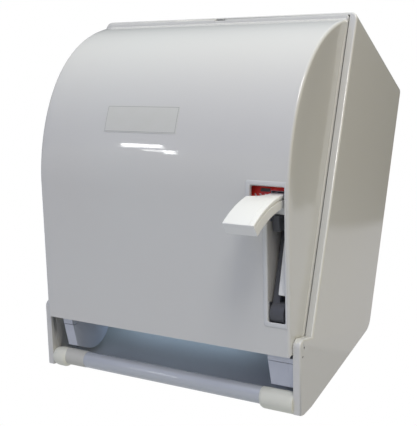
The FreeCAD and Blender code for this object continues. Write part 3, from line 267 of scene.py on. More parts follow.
def rounded_outline(corners, radii, steps=7, between=0):
    """A closed outline with each corner replaced by an arc tangent to both of its sides, and with
    this many points along each straight side."""
    corners = np.array(corners, float)
    rows = []
    for before, here, after, radius in zip(np.roll(corners, 1, 0), corners, np.roll(corners, -1, 0), radii):
        to_before = (before - here) / np.linalg.norm(before - here)
        to_after = (after - here) / np.linalg.norm(after - here)
        half = math.acos(np.clip(to_before @ to_after, -1, 1)) / 2
        reach = radius / math.tan(half)
        middle = (to_before + to_after) / np.linalg.norm(to_before + to_after)
        centre = here + middle * radius / math.sin(half)
        first = here + to_before * reach - centre
        last = here + to_after * reach - centre
        turn = math.pi - 2 * half
        t = np.linspace(0, 1, steps)[:, None]
        rows.append(centre + (first * np.sin((1 - t) * turn) + last * np.sin(t * turn)) / math.sin(turn))
    share = np.linspace(0, 1, between + 2)[1:-1, None]
    sides = [a[-1] + share * (b[0] - a[-1]) for a, b in zip(rows, rows[1:] + rows[:1])]
    return np.vstack([part for pair in zip(rows, sides) for part in pair])


def revolve(profile, axis, steps=72):
    """A round body about an X axis at (y, z): profile is rows of (x, radius), turned once round."""
    profile = np.array(profile, float)
    a = np.linspace(0, 2 * math.pi, steps, endpoint=False)
    x = np.repeat(profile[:, :1], steps, 1)
    y = axis[0] + profile[:, 1:2] * np.cos(a)
    z = axis[1] + profile[:, 1:2] * np.sin(a)
    return np.stack([x, y, z], -1), grid_faces(len(profile), steps, round_columns=True)


def sweep_turned(loops, pivot, degrees):
    """Closed loops of (x, radius) carried round the pivot: a loop sits at its angle up from -Y."""
    loops = np.array(loops, float)
    a = np.radians(np.array(degrees, float))[:, None]
    x = loops[:, :, 0]
    y = pivot[0] - loops[:, :, 1] * np.cos(a)
    z = pivot[1] + loops[:, :, 1] * np.sin(a)
    return np.stack([x, y, z], -1), capped_faces(*x.shape)


def tube(points, radius, steps=8):
    """A round wire along a path: a circle in the plane across each point's direction, capped."""
    points = np.array(points, float)
    along = np.gradient(points, axis=0)
    along /= np.linalg.norm(along, axis=1, keepdims=True)
    side = np.cross(along, [0.31, 0.17, 0.93])
    side /= np.linalg.norm(side, axis=1, keepdims=True)
    other = np.cross(along, side)
    a = np.linspace(0, 2 * math.pi, steps, endpoint=False)
    ring = side[:, None] * np.cos(a)[:, None] + other[:, None] * np.sin(a)[:, None]
    return points[:, None] + radius * ring, capped_faces(len(points), steps)


# Shader groups ------------------------------------------------------------------------------------

def group(name, inputs, outputs):
    """An empty shader group with named sockets; returns it with its two ends."""
    tree = bpy.data.node_groups.new(name, "ShaderNodeTree")
    for label, kind, value in inputs:
        socket = tree.interface.new_socket(label, in_out="INPUT", socket_type="NodeSocket" + kind)
        if value is not None:
            socket.default_value = value
    for label, kind in outputs:
        tree.interface.new_socket(label, in_out="OUTPUT", socket_type="NodeSocket" + kind)
    return tree, tree.nodes.new("NodeGroupInput"), tree.nodes.new("NodeGroupOutput")


def put(tree, kind, links=None, **settings):
    """Adds a node, sets its properties and joins or sets its inputs by index or name."""
    node = tree.nodes.new("ShaderNode" + kind)
    for key, value in settings.items():
        setattr(node, key, value)
    for key, value in (links or {}).items():
        if isinstance(value, bpy.types.NodeSocket):
            tree.links.new(value, node.inputs[key])
        else:
            node.inputs[key].default_value = value
    return node


def math_node(tree, operation, a, b=None, clamp=False):
    """A sum, product or other operation on one or two values."""
    links = {0: a}
    if b is not None:
        links[1] = b
    return put(tree, "Math", links, operation=operation, use_clamp=clamp).outputs[0]


def noise(tree, vector, scale, detail=4.0, rough=0.55):
    """Noise from 0 to 1, with about this many cells to the metre."""
    links = {"Vector": vector, "Scale": scale, "Detail": detail, "Roughness": rough}
    return put(tree, "TexNoise", links).outputs["Fac"]


def remap(tree, value, low, high, to_low=0.0, to_high=1.0):
    """A value's run from low to high, stretched to another range and held at its ends."""
    links = {"Value": value, "From Min": low, "From Max": high, "To Min": to_low, "To Max": to_high}
    return put(tree, "MapRange", links).outputs["Result"]


def blend_colour(tree, factor, a, b):
    """Colour a where the factor is 0 and colour b where it is 1."""
    return put(tree, "Mix", {0: factor, 6: a, 7: b}, data_type="RGBA").outputs[2]


def moulded_skin_group():
    """Skin of a moulded part: slight colour drift, dark specks, handling smudges, and a height of fine
    grain on a slow wave."""
    tree, ins, outs = group("moulded skin", [
        ("Vector", "Vector", None), ("Colour", "Color", (0.6, 0.6, 0.6, 1)),
        ("Aged", "Color", (0.5, 0.5, 0.4, 1)), ("Drift", "Float", 0.3), ("Roughness", "Float", 0.3),
        ("Smudge", "Float", 0.1), ("Grain size", "Float", 900.0)],
        [("Colour", "Color"), ("Roughness", "Float"), ("Height", "Float")])
    o = ins.outputs
    wide = remap(tree, noise(tree, o["Vector"], 5.0, 2.0, 0.4), 0.3, 0.75)
    colour = blend_colour(tree, math_node(tree, "MULTIPLY", wide, o["Drift"]), o["Colour"], o["Aged"])
    smear = remap(tree, noise(tree, o["Vector"], 30.0, 3.0, 0.5), 0.35, 0.75)
    speck = remap(tree, noise(tree, o["Vector"], 900.0, 2.0), 0.66, 0.74)
    mark = math_node(tree, "MULTIPLY", speck, 0.03)
    colour = blend_colour(tree, mark, colour, (0.12, 0.12, 0.11, 1))
    rough = math_node(tree, "ADD", o["Roughness"], math_node(tree, "MULTIPLY", smear, o["Smudge"]))
    grain = noise(tree, o["Vector"], o["Grain size"], 3.0, 0.6)
    wave = math_node(tree, "MULTIPLY", noise(tree, o["Vector"], 18.0, 1.0, 0.3), 2.0)
    tree.links.new(colour, outs.inputs["Colour"])
    tree.links.new(rough, outs.inputs["Roughness"])
    tree.links.new(math_node(tree, "ADD", grain, wave), outs.inputs["Height"])
    return tree


def dust_group():
    """Dust that settles where the surface faces up, broken up by noise."""
    tree, ins, outs = group("settled dust", [
        ("Vector", "Vector", None), ("Normal", "Vector", None), ("Amount", "Float", 0.2)],
        [("Mask", "Float")])
    o = ins.outputs
    height = put(tree, "SeparateXYZ", {0: o["Normal"]}).outputs["Z"]
    level = remap(tree, height, 0.55, 1.0)
    broken = remap(tree, noise(tree, o["Vector"], 120.0, 6.0, 0.7), 0.35, 0.7)
    mask = math_node(tree, "MULTIPLY", math_node(tree, "MULTIPLY", level, broken), o["Amount"], True)
    tree.links.new(mask, outs.inputs["Mask"])
    return tree


def drawn_metal_group():
    """Fine lines along X on drawn or turned metal, with dull patches."""
    tree, ins, outs = group("drawn lines", [
        ("Vector", "Vector", None), ("Scale", "Float", 300.0)], [("Height", "Float"), ("Patches", "Float")])
    o = ins.outputs
    flat = put(tree, "Mapping", {"Vector": o["Vector"], "Scale": (0.04, 1.0, 1.0)}).outputs[0]
    tree.links.new(noise(tree, flat, o["Scale"], 4.0, 0.7), outs.inputs["Height"])
    tree.links.new(remap(tree, noise(tree, o["Vector"], 60.0), 0.4, 0.7), outs.inputs["Patches"])
    return tree


GROUPS = {"skin": moulded_skin_group(), "dust": dust_group(), "drawn": drawn_metal_group()}


def start_material(name):
    """A new material with its shader joined up, its tree and the piece's own coordinates."""
    material = bpy.data.materials.new(name)
    material.use_nodes = True
    tree = material.node_tree
    tree.nodes.clear()
    out = tree.nodes.new("ShaderNodeOutputMaterial")
    shader = tree.nodes.new("ShaderNodeBsdfPrincipled")
    tree.links.new(shader.outputs[0], out.inputs[0])
    place = put(tree, "TexCoord").outputs["Object"]
    return material, tree, shader, place


def add_group(tree, key, **links):
    """Places a shared group in a material; an underscore in a key stands for a space in its label."""
    node = tree.nodes.new("ShaderNodeGroup")
    node.node_tree = GROUPS[key]
    for label, value in links.items():
        socket = node.inputs[label.replace("_", " ")]
        if isinstance(value, bpy.types.NodeSocket):
            tree.links.new(value, socket)
        else:
            socket.default_value = value
    return node.outputs


def srgb(r, g, b):
    """A colour written as 0 to 255 display values, made linear."""
    values = [c / 255 for c in (r, g, b)]
    return tuple(c / 12.92 if c < 0.04045 else ((c + 0.055) / 1.055) ** 2.4 for c in values) + (1.0,)


def plastic(name, colour, aged, rough, smudge, drift, grain, depth, dust, coat=0.0, coat_rough=0.1):
    """Moulded plastic: grain, smudges, slow colour drift and dust on top; coat is its polished skin."""
    material, tree, shader, place = start_material(name)
    skin = add_group(tree, "skin", Vector=place, Colour=colour, Aged=aged, Drift=drift, Roughness=rough,
                     Smudge=smudge, Grain_size=grain)
    normal = put(tree, "NewGeometry").outputs["Normal"]
    dusty = add_group(tree, "dust", Vector=place, Normal=normal, Amount=dust)["Mask"]
    tinted = blend_colour(tree, dusty, skin["Colour"], srgb(176, 172, 160))
    tree.links.new(tinted, shader.inputs["Base Color"])
    dull = math_node(tree, "ADD", skin["Roughness"], math_node(tree, "MULTIPLY", dusty, 0.5), True)
    tree.links.new(dull, shader.inputs["Roughness"])
    bump = put(tree, "Bump", {"Height": skin["Height"], "Strength": depth, "Distance": 0.001})
    tree.links.new(bump.outputs[0], shader.inputs["Normal"])
    shader.inputs["Coat Weight"].default_value = coat
    shader.inputs["Coat Roughness"].default_value = coat_rough
    return material


def metal(name, colour, rough, scale=900.0):
    """Drawn or turned metal: fine lines along X, and patches that are darker and duller."""
    material, tree, shader, place = start_material(name)
    lines = add_group(tree, "drawn", Vector=place, Scale=scale)
    shade_low = tuple(0.7 * c for c in colour[:3]) + (1.0,)
    mixed = blend_colour(tree, lines["Patches"], colour, shade_low)
    tree.links.new(mixed, shader.inputs["Base Color"])
    tree.links.new(remap(tree, lines["Patches"], 0.0, 1.0, rough, rough + 0.15), shader.inputs["Roughness"])
    bump = put(tree, "Bump", {"Height": lines["Height"], "Strength": 0.06, "Distance": 0.0005})
    tree.links.new(bump.outputs[0], shader.inputs["Normal"])
    shader.inputs["Metallic"].default_value = 1.0
    return material


# Finishes -----------------------------------------------------------------------------------------

casing = plastic("casing gloss", srgb(205, 206, 202), srgb(202, 199, 194),
                 rough=0.3, smudge=0.03, drift=0.4, grain=700.0, depth=0.02, dust=0.04, coat=1.0,
                 coat_rough=0.04)
border_white = plastic("border white", srgb(207, 209, 208), srgb(202, 201, 195),
                       rough=0.3, smudge=0.05, drift=0.3, grain=900.0, depth=0.03, dust=0.04, coat=0.2,
                       coat_rough=0.1)
# White chassis plastic, with a bluish tint painted in for the shade the chassis sits in
chassis = plastic("chassis satin", srgb(194, 199, 209), srgb(188, 192, 200),
                  rough=0.38, smudge=0.05, drift=0.4, grain=1400.0, depth=0.03, dust=0.06)
lever_white = plastic("lever white", srgb(228, 229, 226), srgb(222, 220, 212),
                      rough=0.33, smudge=0.05, drift=0.3, grain=1100.0, depth=0.03, dust=0.04)
nylon = plastic("dark nylon", srgb(76, 78, 83), srgb(84, 85, 88),
                rough=0.5, smudge=0.08, drift=0.5, grain=1500.0, depth=0.1, dust=0.1)
acetal = plastic("acetal", srgb(214, 214, 204), srgb(206, 204, 192),
                 rough=0.34, smudge=0.05, drift=0.3, grain=1300.0, depth=0.03, dust=0.05)
socket_white = plastic("socket white", srgb(218, 219, 206), srgb(210, 210, 196),
                       rough=0.4, smudge=0.06, drift=0.4, grain=900.0, depth=0.04, dust=0.05)
# Painted shadow: this grey stands in for the left cheek's shadow on the white socket's sleeve
sleeve_painted_shadow = plastic("sleeve painted shadow", srgb(192, 192, 184), srgb(186, 186, 178),
                      rough=0.45, smudge=0.06, drift=0.4, grain=900.0, depth=0.04, dust=0.05)
jamb_grey = plastic("jamb grey", srgb(188, 186, 181), srgb(176, 174, 168),
                    rough=0.4, smudge=0.06, drift=0.4, grain=900.0, depth=0.03, dust=0.05)
bar_gloss = plastic("bar tube", srgb(180, 185, 190), srgb(177, 182, 188),
                    rough=0.25, smudge=0.03, drift=0.3, grain=1100.0, depth=0.01, dust=0.02, coat=1.0,
                    coat_rough=0.05)
# Painted shade, for the dark discs in the right ear's dimples
deep_shade = plastic("deep shade", srgb(30, 29, 27), srgb(36, 35, 33),
                     rough=0.8, smudge=0.05, drift=0.3, grain=1500.0, depth=0.1, dust=0.0)
rubber = plastic("grip rubber", srgb(66, 66, 66), srgb(84, 82, 78),
                 rough=0.75, smudge=0.1, drift=0.5, grain=2200.0, depth=0.3, dust=0.25)
zinc = metal("zinc steel", srgb(196, 198, 200), 0.28)
bronze = metal("sintered bronze", srgb(176, 140, 92), 0.42, 1600.0)


# Cover --------------------------------------------------------------------------------------------

def bezier(t, a, b, c, d):
    """Cubic Bezier: (1 - t)^3 a + 3 (1 - t)^2 t b + 3 (1 - t) t^2 c + t^3 d."""
    return (1 - t) ** 3 * a + 3 * (1 - t) ** 2 * t * b + 3 * (1 - t) * t ** 2 * c + t ** 3 * d


def cover_profile():
    """Side outline from the foot to the lip: a straight face, then a cubic Bezier, then a small cove.

    Rows of (y, z) and of the unit normal that points into the body.
    """
    foot, head, crown = np.array(FACE_FOOT), np.array(FACE_HEAD), np.array(CROWN)
    run = (head - foot) / np.linalg.norm(head - foot)
    a = math.radians(CROWN_ANGLE)
    p1 = head + LOWER_PULL * run
    p2 = crown - UPPER_PULL * np.array([math.cos(a), math.sin(a)])
    stops = [foot[1], 54.5, 56.5, 59.0, 62.0, 72.0, SLOT[2] - LAP, 104.0, 120.0, 140.0, 160.0,
             WIDE[2] - LAP, 188.0, head[1]]
    share = (np.array(stops) - foot[1]) / (head[1] - foot[1])
    face = foot + share[:, None] * (head - foot)
    t = np.linspace(0, 1, 97)
    heights = bezier(t, head[1], p1[1], p2[1], crown[1])
    at_border = np.interp(WIDE[3] + LAP, heights[:20], t[:20])
    t = np.sort(np.concatenate([t[1:], [at_border]]))[:, None]
    dome = bezier(t, head, p1, p2, crown)
    dome = dome[dome[:, 0] < LIP_FRONT - COVE_R]
    cove = arc(LIP_FRONT - COVE_R, dome[-1, 1] + COVE_RISE, COVE_R, -62, 0, 7)
    line = np.vstack([face, dome, cove])
    along = np.gradient(line, axis=0)
    along /= np.linalg.norm(along, axis=1, keepdims=True)
    return line, np.stack([along[:, 1], -along[:, 0]], 1)


def face_depth(z):
    """Depth of the cover's skin at a height, read off its profile."""
    line, _ = cover_profile()
    return np.interp(z, line[:, 1], line[:, 0])


def cover_shell():
    """The curved front: at each profile point a section runs from the rear edge along the left side,
    round the corner (x = H - r + r cos, depth = r - r sin), across, and back on the right side. The
    sides lie FLANGE_STEP further in, except at the narrow flange by the rear edge and near the face."""
    line, inward = cover_profile()
    rows = len(line)
    corner = np.radians(np.linspace(0, 90, 9))
    edge_x = COVER_HALF - COVER_ROUND + COVER_ROUND * np.cos(corner)
    edge_d = COVER_ROUND - COVER_ROUND * np.sin(corner)
    inner_x = np.array([140.0, 100.0, 60.0, 30.0, KEY_HALF])
    left_x = np.concatenate([edge_x, inner_x])
    stops = [WIDE[0] - LAP, SLOT[0] - LAP, SLOT[1] + LAP_RIGHT]
    right_x = np.sort(np.concatenate([left_x, stops]))[::-1]
    across = np.concatenate([-left_x, right_x[::-1]])
    depth = np.interp(abs(across), edge_x[::-1], edge_d[::-1])
    fade = np.clip(1 - (line[:, 1] - FACE_FOOT[1]) / FOOT_FADE, 0, 1) ** 1.5
    beyond = np.clip(abs(across) - (COVER_HALF - COVER_CORNER), 0, COVER_CORNER)
    lift = COVER_CORNER - np.sqrt(COVER_CORNER ** 2 - np.minimum(beyond, COVER_CORNER * 0.995) ** 2)
    z = line[:, 1:2] + inward[:, 1:2] * depth + fade[:, None] * lift
    y = line[:, 0:1] + inward[:, 0:1] * depth
    y = y + fade[:, None] * lift * (FACE_HEAD[0] - FACE_FOOT[0]) / (FACE_HEAD[1] - FACE_FOOT[1])
    front = np.stack([np.broadcast_to(across, y.shape), y, z], -1)
    walls = []
    for side, column in ((-1, 0), (1, -1)):
        start = front[:, column]
        depths = np.array([COVER_REAR, FLANGE_REAR + 1.2, FLANGE_REAR + 0.5, FLANGE_REAR, FLANGE_FRONT,
                           FLANGE_FRONT - 0.6])
        share = np.linspace(0, 1, 9)[1:]
        behind = depths[-1] + share[:-1, None] * (start[:, 1] - depths[-1])
        ys = np.vstack([np.repeat(depths[:, None], rows, 1), behind])
        ys = np.maximum(ys, start[:, 1])
        inset = np.array([1.0, 1.0, 0.5, 0.0, 0.0] + [FLANGE_STEP] * (len(ys) - 5))
        growing = FLANGE_STEP * np.clip((ys - start[:, 1]) / 30.0, 0, 1)
        sloped = np.where(ys > FLANGE_REAR - 0.1, 1.0, growing)
        xs = side * (COVER_HALF - np.minimum(inset[:, None], sloped))
        zs = np.repeat(start[None, :, 2], len(ys), 0)
        wall = np.stack([xs, ys, zs], -1).transpose(1, 0, 2)
        walls.append(wall if side < 0 else wall[:, ::-1])
    grid = np.concatenate([walls[0], front, walls[1]], 1)
    quads = grid_faces(rows, grid.shape[1])
    x, y, z = grid.reshape(-1, 3)[quads].mean(1).T
    kept = np.ones(len(quads), bool)
    for left, right, bottom, top in (WIDE, SLOT):
        across_it = (x > left - LAP) & (x < right + LAP_RIGHT)
        kept &= ~(across_it & (z > bottom - LAP) & (z < top + LAP) & (y < face_depth(z) + 4.0))
    shell = piece("cover_shell", [(grid, quads[kept])], casing, "cover", sharp=38.0)
    thicken(shell, COVER_WALL)
    soften(shell, 0.5, 3, 50.0)
    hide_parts("front_cover")
    return shell


def cover_lip():
    """The strip along the cover's top edge: a rounded section carried along X, with the key notch. At
    both ends x grows by r sin while the top falls by r - r cos."""
    section = rounded_outline([(LIP_FRONT, LIP_LOW), (LIP_FRONT, LIP_TOP), (COVER_REAR, LIP_TOP),
                               (COVER_REAR, LIP_LOW)], [0.4, 1.0, 0.6, 0.4], 5)
    a = np.linspace(0, math.pi / 2, 9)
    round_x = COVER_HALF - LIP_CORNER + LIP_CORNER * np.sin(a)
    drop = LIP_CORNER - LIP_CORNER * np.cos(a)
    xs = np.concatenate([[KEY_HALF, 40.0, 110.0], round_x])
    tops = np.concatenate([[LIP_TOP] * 3, LIP_TOP - drop])
    parts = [loft_tops(section, side * xs, tops) for side in (-1, 1)]
    notch = KEY_HALF + 0.2
    parts.append(loft_tops(section, np.array([-notch, notch]), np.array([KEY_LOW, KEY_LOW])))
    return piece("cover_lip", parts, casing, "cover")


def loft_tops(section, xs, tops):
    """A closed (y, z) section placed at each x, with its upper part lowered to that place's top."""
    low = section[:, 1].min()
    share = np.clip((section[:, 1] - low) / (LIP_TOP - low), 0, 1)
    z = low + share[None] * (tops[:, None] - low)
    x = np.repeat(xs[:, None], len(section), 1)
    y = np.repeat(section[None, :, 0], len(xs), 0)
    return np.stack([x, y, z], -1), capped_faces(*z.shape)


def extrude_outline(outline, x0, x1, rounding, steps=4):
    """A closed (y, z) outline carried from x0 to x1, with rounded ends: the outline shrinks towards
    its middle by r - r sin while x moves by r - r cos."""
    centre = (outline.max(0) + outline.min(0)) / 2
    half = (outline.max(0) - outline.min(0)) / 2
    a = np.radians(np.linspace(0, 90, steps))
    inset = rounding * (1 - np.sin(a))
    move = rounding * (1 - np.cos(a))
    shrink = 1 - inset[:, None] / half[None, :]
    xs = np.concatenate([x0 + move, (x1 - move)[::-1]])
    scale = np.concatenate([shrink, shrink[::-1]])
    loops = centre + (outline[None] - centre) * scale[:, None, :]
    grid = np.concatenate([np.repeat(xs[:, None], len(outline), 1)[..., None], loops], -1)
    return grid, capped_faces(*grid.shape[:2])


def opening_border():
    """The raised border of the L-shaped lever opening: loops between an inner and an outer outline,
    each at its share across and its height above the skin."""
    inner = rounded_outline([(WIDE[0], WIDE[3]), (WIDE[1], WIDE[3]), (SLOT[1], SLOT[2]), (SLOT[0], SLOT[2]),
                             (SLOT[0], WIDE[2]), (WIDE[0], WIDE[2])], [1.6, 1.6, 1.6, 1.6, 1.4, 1.6], 9, 12)
    b = BORDER
    outer = rounded_outline([(WIDE[0] - b, WIDE[3] + b), (WIDE[1] + BORDER_RIGHT, WIDE[3] + b),
                             (SLOT[1] + BORDER_RIGHT, SLOT[2] - b), (SLOT[0] - b, SLOT[2] - b),
                             (SLOT[0] - b, WIDE[2] - b), (WIDE[0] - b, WIDE[2] - b)],
                            [2.2, 1.2, 1.2, 2.6, 1.6, 2.2], 9, 12)
    levels = [(0.5, -3.2), (0.04, -3.2), (0.0, -3.0), (0.0, -1.0), (0.0, 0.35), (0.05, 0.65),
              (0.13, BORDER_RISE), (0.5, BORDER_RISE), (0.87, BORDER_RISE), (0.95, 0.65), (1.0, 0.35),
              (1.0, -0.6), (0.5, -0.6)]
    lean = math.cos(math.atan2(FACE_FOOT[0] - FACE_HEAD[0], FACE_HEAD[1] - FACE_FOOT[1]))
    loops = []
    for share, height in levels:
        flat = inner + (outer - inner) * share
        y = face_depth(flat[:, 1]) - height / lean
        loops.append(np.stack([flat[:, 0], y, flat[:, 1]], 1))
    grid = np.stack(loops)
    faces = grid_faces(len(levels), grid.shape[1], True, True)
    return piece("opening_border", [(grid, faces)], border_white, "cover", sharp=40.0)


cover_shell()
cover_lip()
opening_border()


def slot_jamb():
    """The wall that runs inwards from the slot's left edge: its outline carried along X."""
    high = WIDE[2] + 1.0
    outline = rounded_outline([(float(face_depth(JAMB_LOW)) + 1.0, JAMB_LOW), (JAMB_REAR, JAMB_LOW),
                               (JAMB_REAR, high), (float(face_depth(high)) + 1.0, high)],
                              [0.5, 1.0, 1.0, 0.5], 4)
    grid, faces = extrude_outline(outline, SLOT[0] - JAMB_WALL, SLOT[0] + 0.02, 0.3)
    return piece("slot_jamb", [(grid, faces)], jamb_grey, "cover")


# Lever --------------------------------------------------------------------------------------------

def lever_left(degrees):
    """Left edge of the lever, between stops of (angle, x): the paddle, its square rear end and the
    cove into the arm."""
    stops = [(LEVER_TIP, PADDLE_LEFT), (60.5, PADDLE_LEFT), (60.9, 113.9), (61.15, 114.6), (61.3, 116.0),
             (61.45, 119.6), (61.7, 122.8), (62.1, 124.6), (62.7, 126.5), (63.5, 128.2), (64.6, 129.9),
             (66.0, 131.2), (67.6, ARM_LEFT), (LEVER_REAR, ARM_LEFT)]
    return np.interp(degrees, *zip(*stops))


def lever_loop(left, groove, depth, inset):
    """One closed section in (x, radius): rounded corners, a fine line cut along the top and a groove
    in the right side, from GROOVE_TOP down by its width; inset shrinks it all round."""
    x0, x1 = left + inset, ARM_RIGHT - inset
    r0, r1 = LEVER_IN + inset, LEVER_OUT - inset
    r = LEVER_ROUND
    line, cut = ARM_RIGHT - TOP_LINE_IN, r1 - TOP_LINE_DEPTH
    high, low = GROOVE_TOP, GROOVE_TOP - groove
    points = [arc(x0 + r, r0 + r, r, 270, 180, 5), arc(x0 + r, r1 - r, r, 180, 90, 5)]
    points.append(np.array([(line - 0.5, r1), (line - 0.15, cut), (line + 0.15, cut), (line + 0.5, r1)]))
    points.append(arc(x1 - r, r1 - r, r, 90, 0, 5))
    points.append(np.array([(x1, high + 0.25), (x1 - 0.25, high), (x1 - depth, high), (x1 - depth, low),
                            (x1 - 0.25, low), (x1, low - 0.25)]))
    points.append(arc(x1 - r, r0 + r, r, 0, -90, 5))
    return np.vstack(points)


def lever_body():
    """The curved push lever: sections turned round the pivot, shrunk at both ends to round them. The
    groove's width and depth grow from the tip to the arm."""
    ends = np.array([0.0, 0.03, 0.12, 0.3])
    inner = np.concatenate([np.linspace(38, 60, 12), np.linspace(60.3, 62.1, 13), np.linspace(62.4, 68, 12),
                            np.linspace(70, 96, 14)])
    degrees = np.concatenate([LEVER_TIP + ends, inner, LEVER_REAR - ends[::-1]])
    round_in = np.array([0.7, 0.4, 0.1, 0.0])
    insets = np.concatenate([round_in, np.zeros(len(inner)), round_in[::-1]])
    widths = np.interp(degrees, [39.0, 55.0, 70.0, 82.0], [0.35, 1.0, 3.2, 6.2])
    depths = np.interp(degrees, [38.0, 42.0, 60.0, 75.0, 82.0], [0.3, 0.5, 0.9, 1.8, 3.0])
    loops = [lever_loop(left, w, d, i) for left, w, d, i in zip(lever_left(degrees), widths, depths, insets)]
    return sweep_turned(loops, PIVOT, degrees)


def ring_block(r0, r1, a0, a1, x0, x1, rounding, steps=12):
    """A block of a ring round the pivot: a rounded (x, radius) section turned from a0 to a1."""
    degrees = np.concatenate([[a0, a0 + 0.15], np.linspace(a0 + 0.6, a1 - 0.6, steps), [a1 - 0.15, a1]])
    insets = np.concatenate([[rounding, rounding * 0.3], np.zeros(steps), [rounding * 0.3, rounding]])
    loops = [rounded_outline([(x0 + i, r0 + i), (x0 + i, r1 - i), (x1 - i, r1 - i), (x1 - i, r0 + i)],
                             [rounding] * 4, 4) for i in insets]
    return sweep_turned(loops, PIVOT, degrees)


def lever():
    """The push lever, with the spoke that holds it, an outline in (y, z) carried along X, and the
    thicker root of its arm, a block of a ring."""
    low, high = PIVOT[1] + SPOKE_RISE, PIVOT[1] + LEVER_IN - 1.5
    front = PIVOT[0] - SPOKE_AHEAD
    spoke = rounded_outline([(front, low), (front - SPOKE_LEAN, high), (SPOKE_REAR[0], high),
                             (SPOKE_REAR[1], low)], [1.2, 0.6, 0.6, 1.2], 5)
    parts = [lever_body(), extrude_outline(spoke, SPOKE_LEFT, ARM_RIGHT, 0.6),
             ring_block(ROOT_IN, LEVER_IN + 1, ROOT_FRONT, LEVER_REAR, ARM_LEFT, ARM_RIGHT - 0.1, 0.5)]
    body = piece("push_lever", parts, lever_white, "lever", weld=0.005, sharp=35.0)
    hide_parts("lever")
    return body


slot_jamb()
lever()


# Bottom bar and its sockets -----------------------------------------------------------------------

def bottom_bar():
    """The tube between the sockets: a closed outline of (x, radius) with softened rims and its bore,
    turned about the bar's axis."""
    end = BAR_HALF + BAR_HIDDEN
    half = [(0.0, BAR_R), (60.0, BAR_R), (end - 1.0, BAR_R), (end - 0.3, BAR_R - 0.3), (end, BAR_R - 1.0),
            (end, BAR_R - BAR_WALL), (0.0, BAR_R - BAR_WALL)]
    mirrored = [(-x, r) for x, r in half[::-1]]
    profile = [(x + BAR_SHIFT, r) for x, r in mirrored[1:] + half[1:-1]]
    grid, faces = revolve(profile, BAR, 96)
    faces = np.vstack([faces, ring_between(len(grid) - 1, 0, 96)])
    bar = piece("bar_tube", [(grid, faces)], bar_gloss, "bar")
    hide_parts("bottom_bar")
    return bar


def ring_between(row_a, row_b, columns):
    """Quads that join two far rows of a turned grid."""
    a = row_a * columns + np.arange(columns)
    b = row_b * columns + np.arange(columns)
    return np.stack([a, np.roll(a, -1), np.roll(b, -1), b], -1)


def bar_socket(name, side):
    """A boss on the ear with a rounded mouth: circles of (x, radius, drop below the bar's axis). The left
    boss is a dome, rounder at the ear and shorter, and a slimmer sleeve runs on from it, whose grey is
    painted shadow from the left cheek."""
    out, r, drop = EAR_IN, SOCKET_R, SOCKET_DROP
    mouth = BAR_HALF + BAR_SHIFT if side > 0 else out - DOME_LENGTH
    bore = BAR_R + BORE_PLAY
    dome = 0.0 if side > 0 else 1.0
    circles = [(out, 0.5, drop), (out, r - 0.4 - 2.6 * dome, drop),
               (out - 0.5 - 1.5 * dome, r - 1.4 * dome, drop), (out - 4.0, r - 0.6 * dome, drop),
               (out - 8.0, r, drop), (mouth + 4.2, r, drop), (mouth + 2.4, r - 0.35, drop * 0.86),
               (mouth + 1.0, r - 0.9, drop * 0.6), (mouth + 0.3, r - 1.4, drop * 0.35),
               (mouth, bore + 0.2, 0.0), (mouth + 0.3, bore, 0.0), (mouth + 8.0, bore, 0.0),
               (mouth + 8.0, 0.5, 0.0)]
    boss = piece(name + "_boss", [dropped_circles(circles, side)], socket_white, "housing")
    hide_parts(name)
    if side < 0:
        end = BAR_HALF - BAR_SHIFT
        hidden = end + BAR_HIDDEN + 0.3
        circles = [(mouth + 3.0, 0.5, 0.0), (mouth + 3.0, SLEEVE_R - 0.5, 0.0),
                   (mouth - 0.2, SLEEVE_R - 0.5, 0.0), (end + 3.0, SLEEVE_R - 0.6, 0.0),
                   (end + 1.0, SLEEVE_R - 0.7, 0.0), (end + 0.2, BAR_R + 0.12, 0.0),
                   (end, BAR_R + 0.08, 0.0), (end + 0.3, bore, 0.0), (hidden, bore, 0.0), (hidden, 0.5, 0.0)]
        # The sleeve's grey is painted shadow from the left cheek
        sleeve = piece(name + "_sleeve", [dropped_circles(circles, side)], sleeve_painted_shadow, "housing")
        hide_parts(name)


def dropped_circles(rows, side, steps=72):
    """Circles across X joined into a closed ring: y = Y + r cos a, z = Z - drop + r sin a."""
    rows = np.array(rows, float)
    a = np.linspace(0, 2 * math.pi, steps, endpoint=False)
    x = np.repeat(side * rows[:, :1], steps, 1)
    y = BAR[0] + rows[:, 1:2] * np.cos(a)
    z = BAR[1] - rows[:, 2:3] + rows[:, 1:2] * np.sin(a)
    faces = grid_faces(len(rows), steps, round_columns=True)
    return np.stack([x, y, z], -1), np.vstack([faces, ring_between(len(rows) - 1, 0, steps)])


bottom_bar()
bar_socket("bar_socket_left", -1)
bar_socket("bar_socket_right", 1)


def ear_dimples():
    """Painted shade in the two dimples on the right ear: dark flat discs of (x, radius) at their floors,
    turned about X.
    """
    x0, x1 = DIMPLE_FLOOR
    disc = [(x0, 0.02), (x0, DIMPLE_R), (x1, DIMPLE_R), (x1, 0.02)]
    parts = [revolve(disc, (HINGE[0], HINGE[1] + dz), 24) for dz in (-DIMPLE_APART / 2, DIMPLE_APART / 2)]
    floors = piece("dimple_painted_shade", parts, deep_shade, "housing")
    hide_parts("back_housing")
    return floors


ear_dimples()


# Label and decal ----------------------------------------------------------------------------------

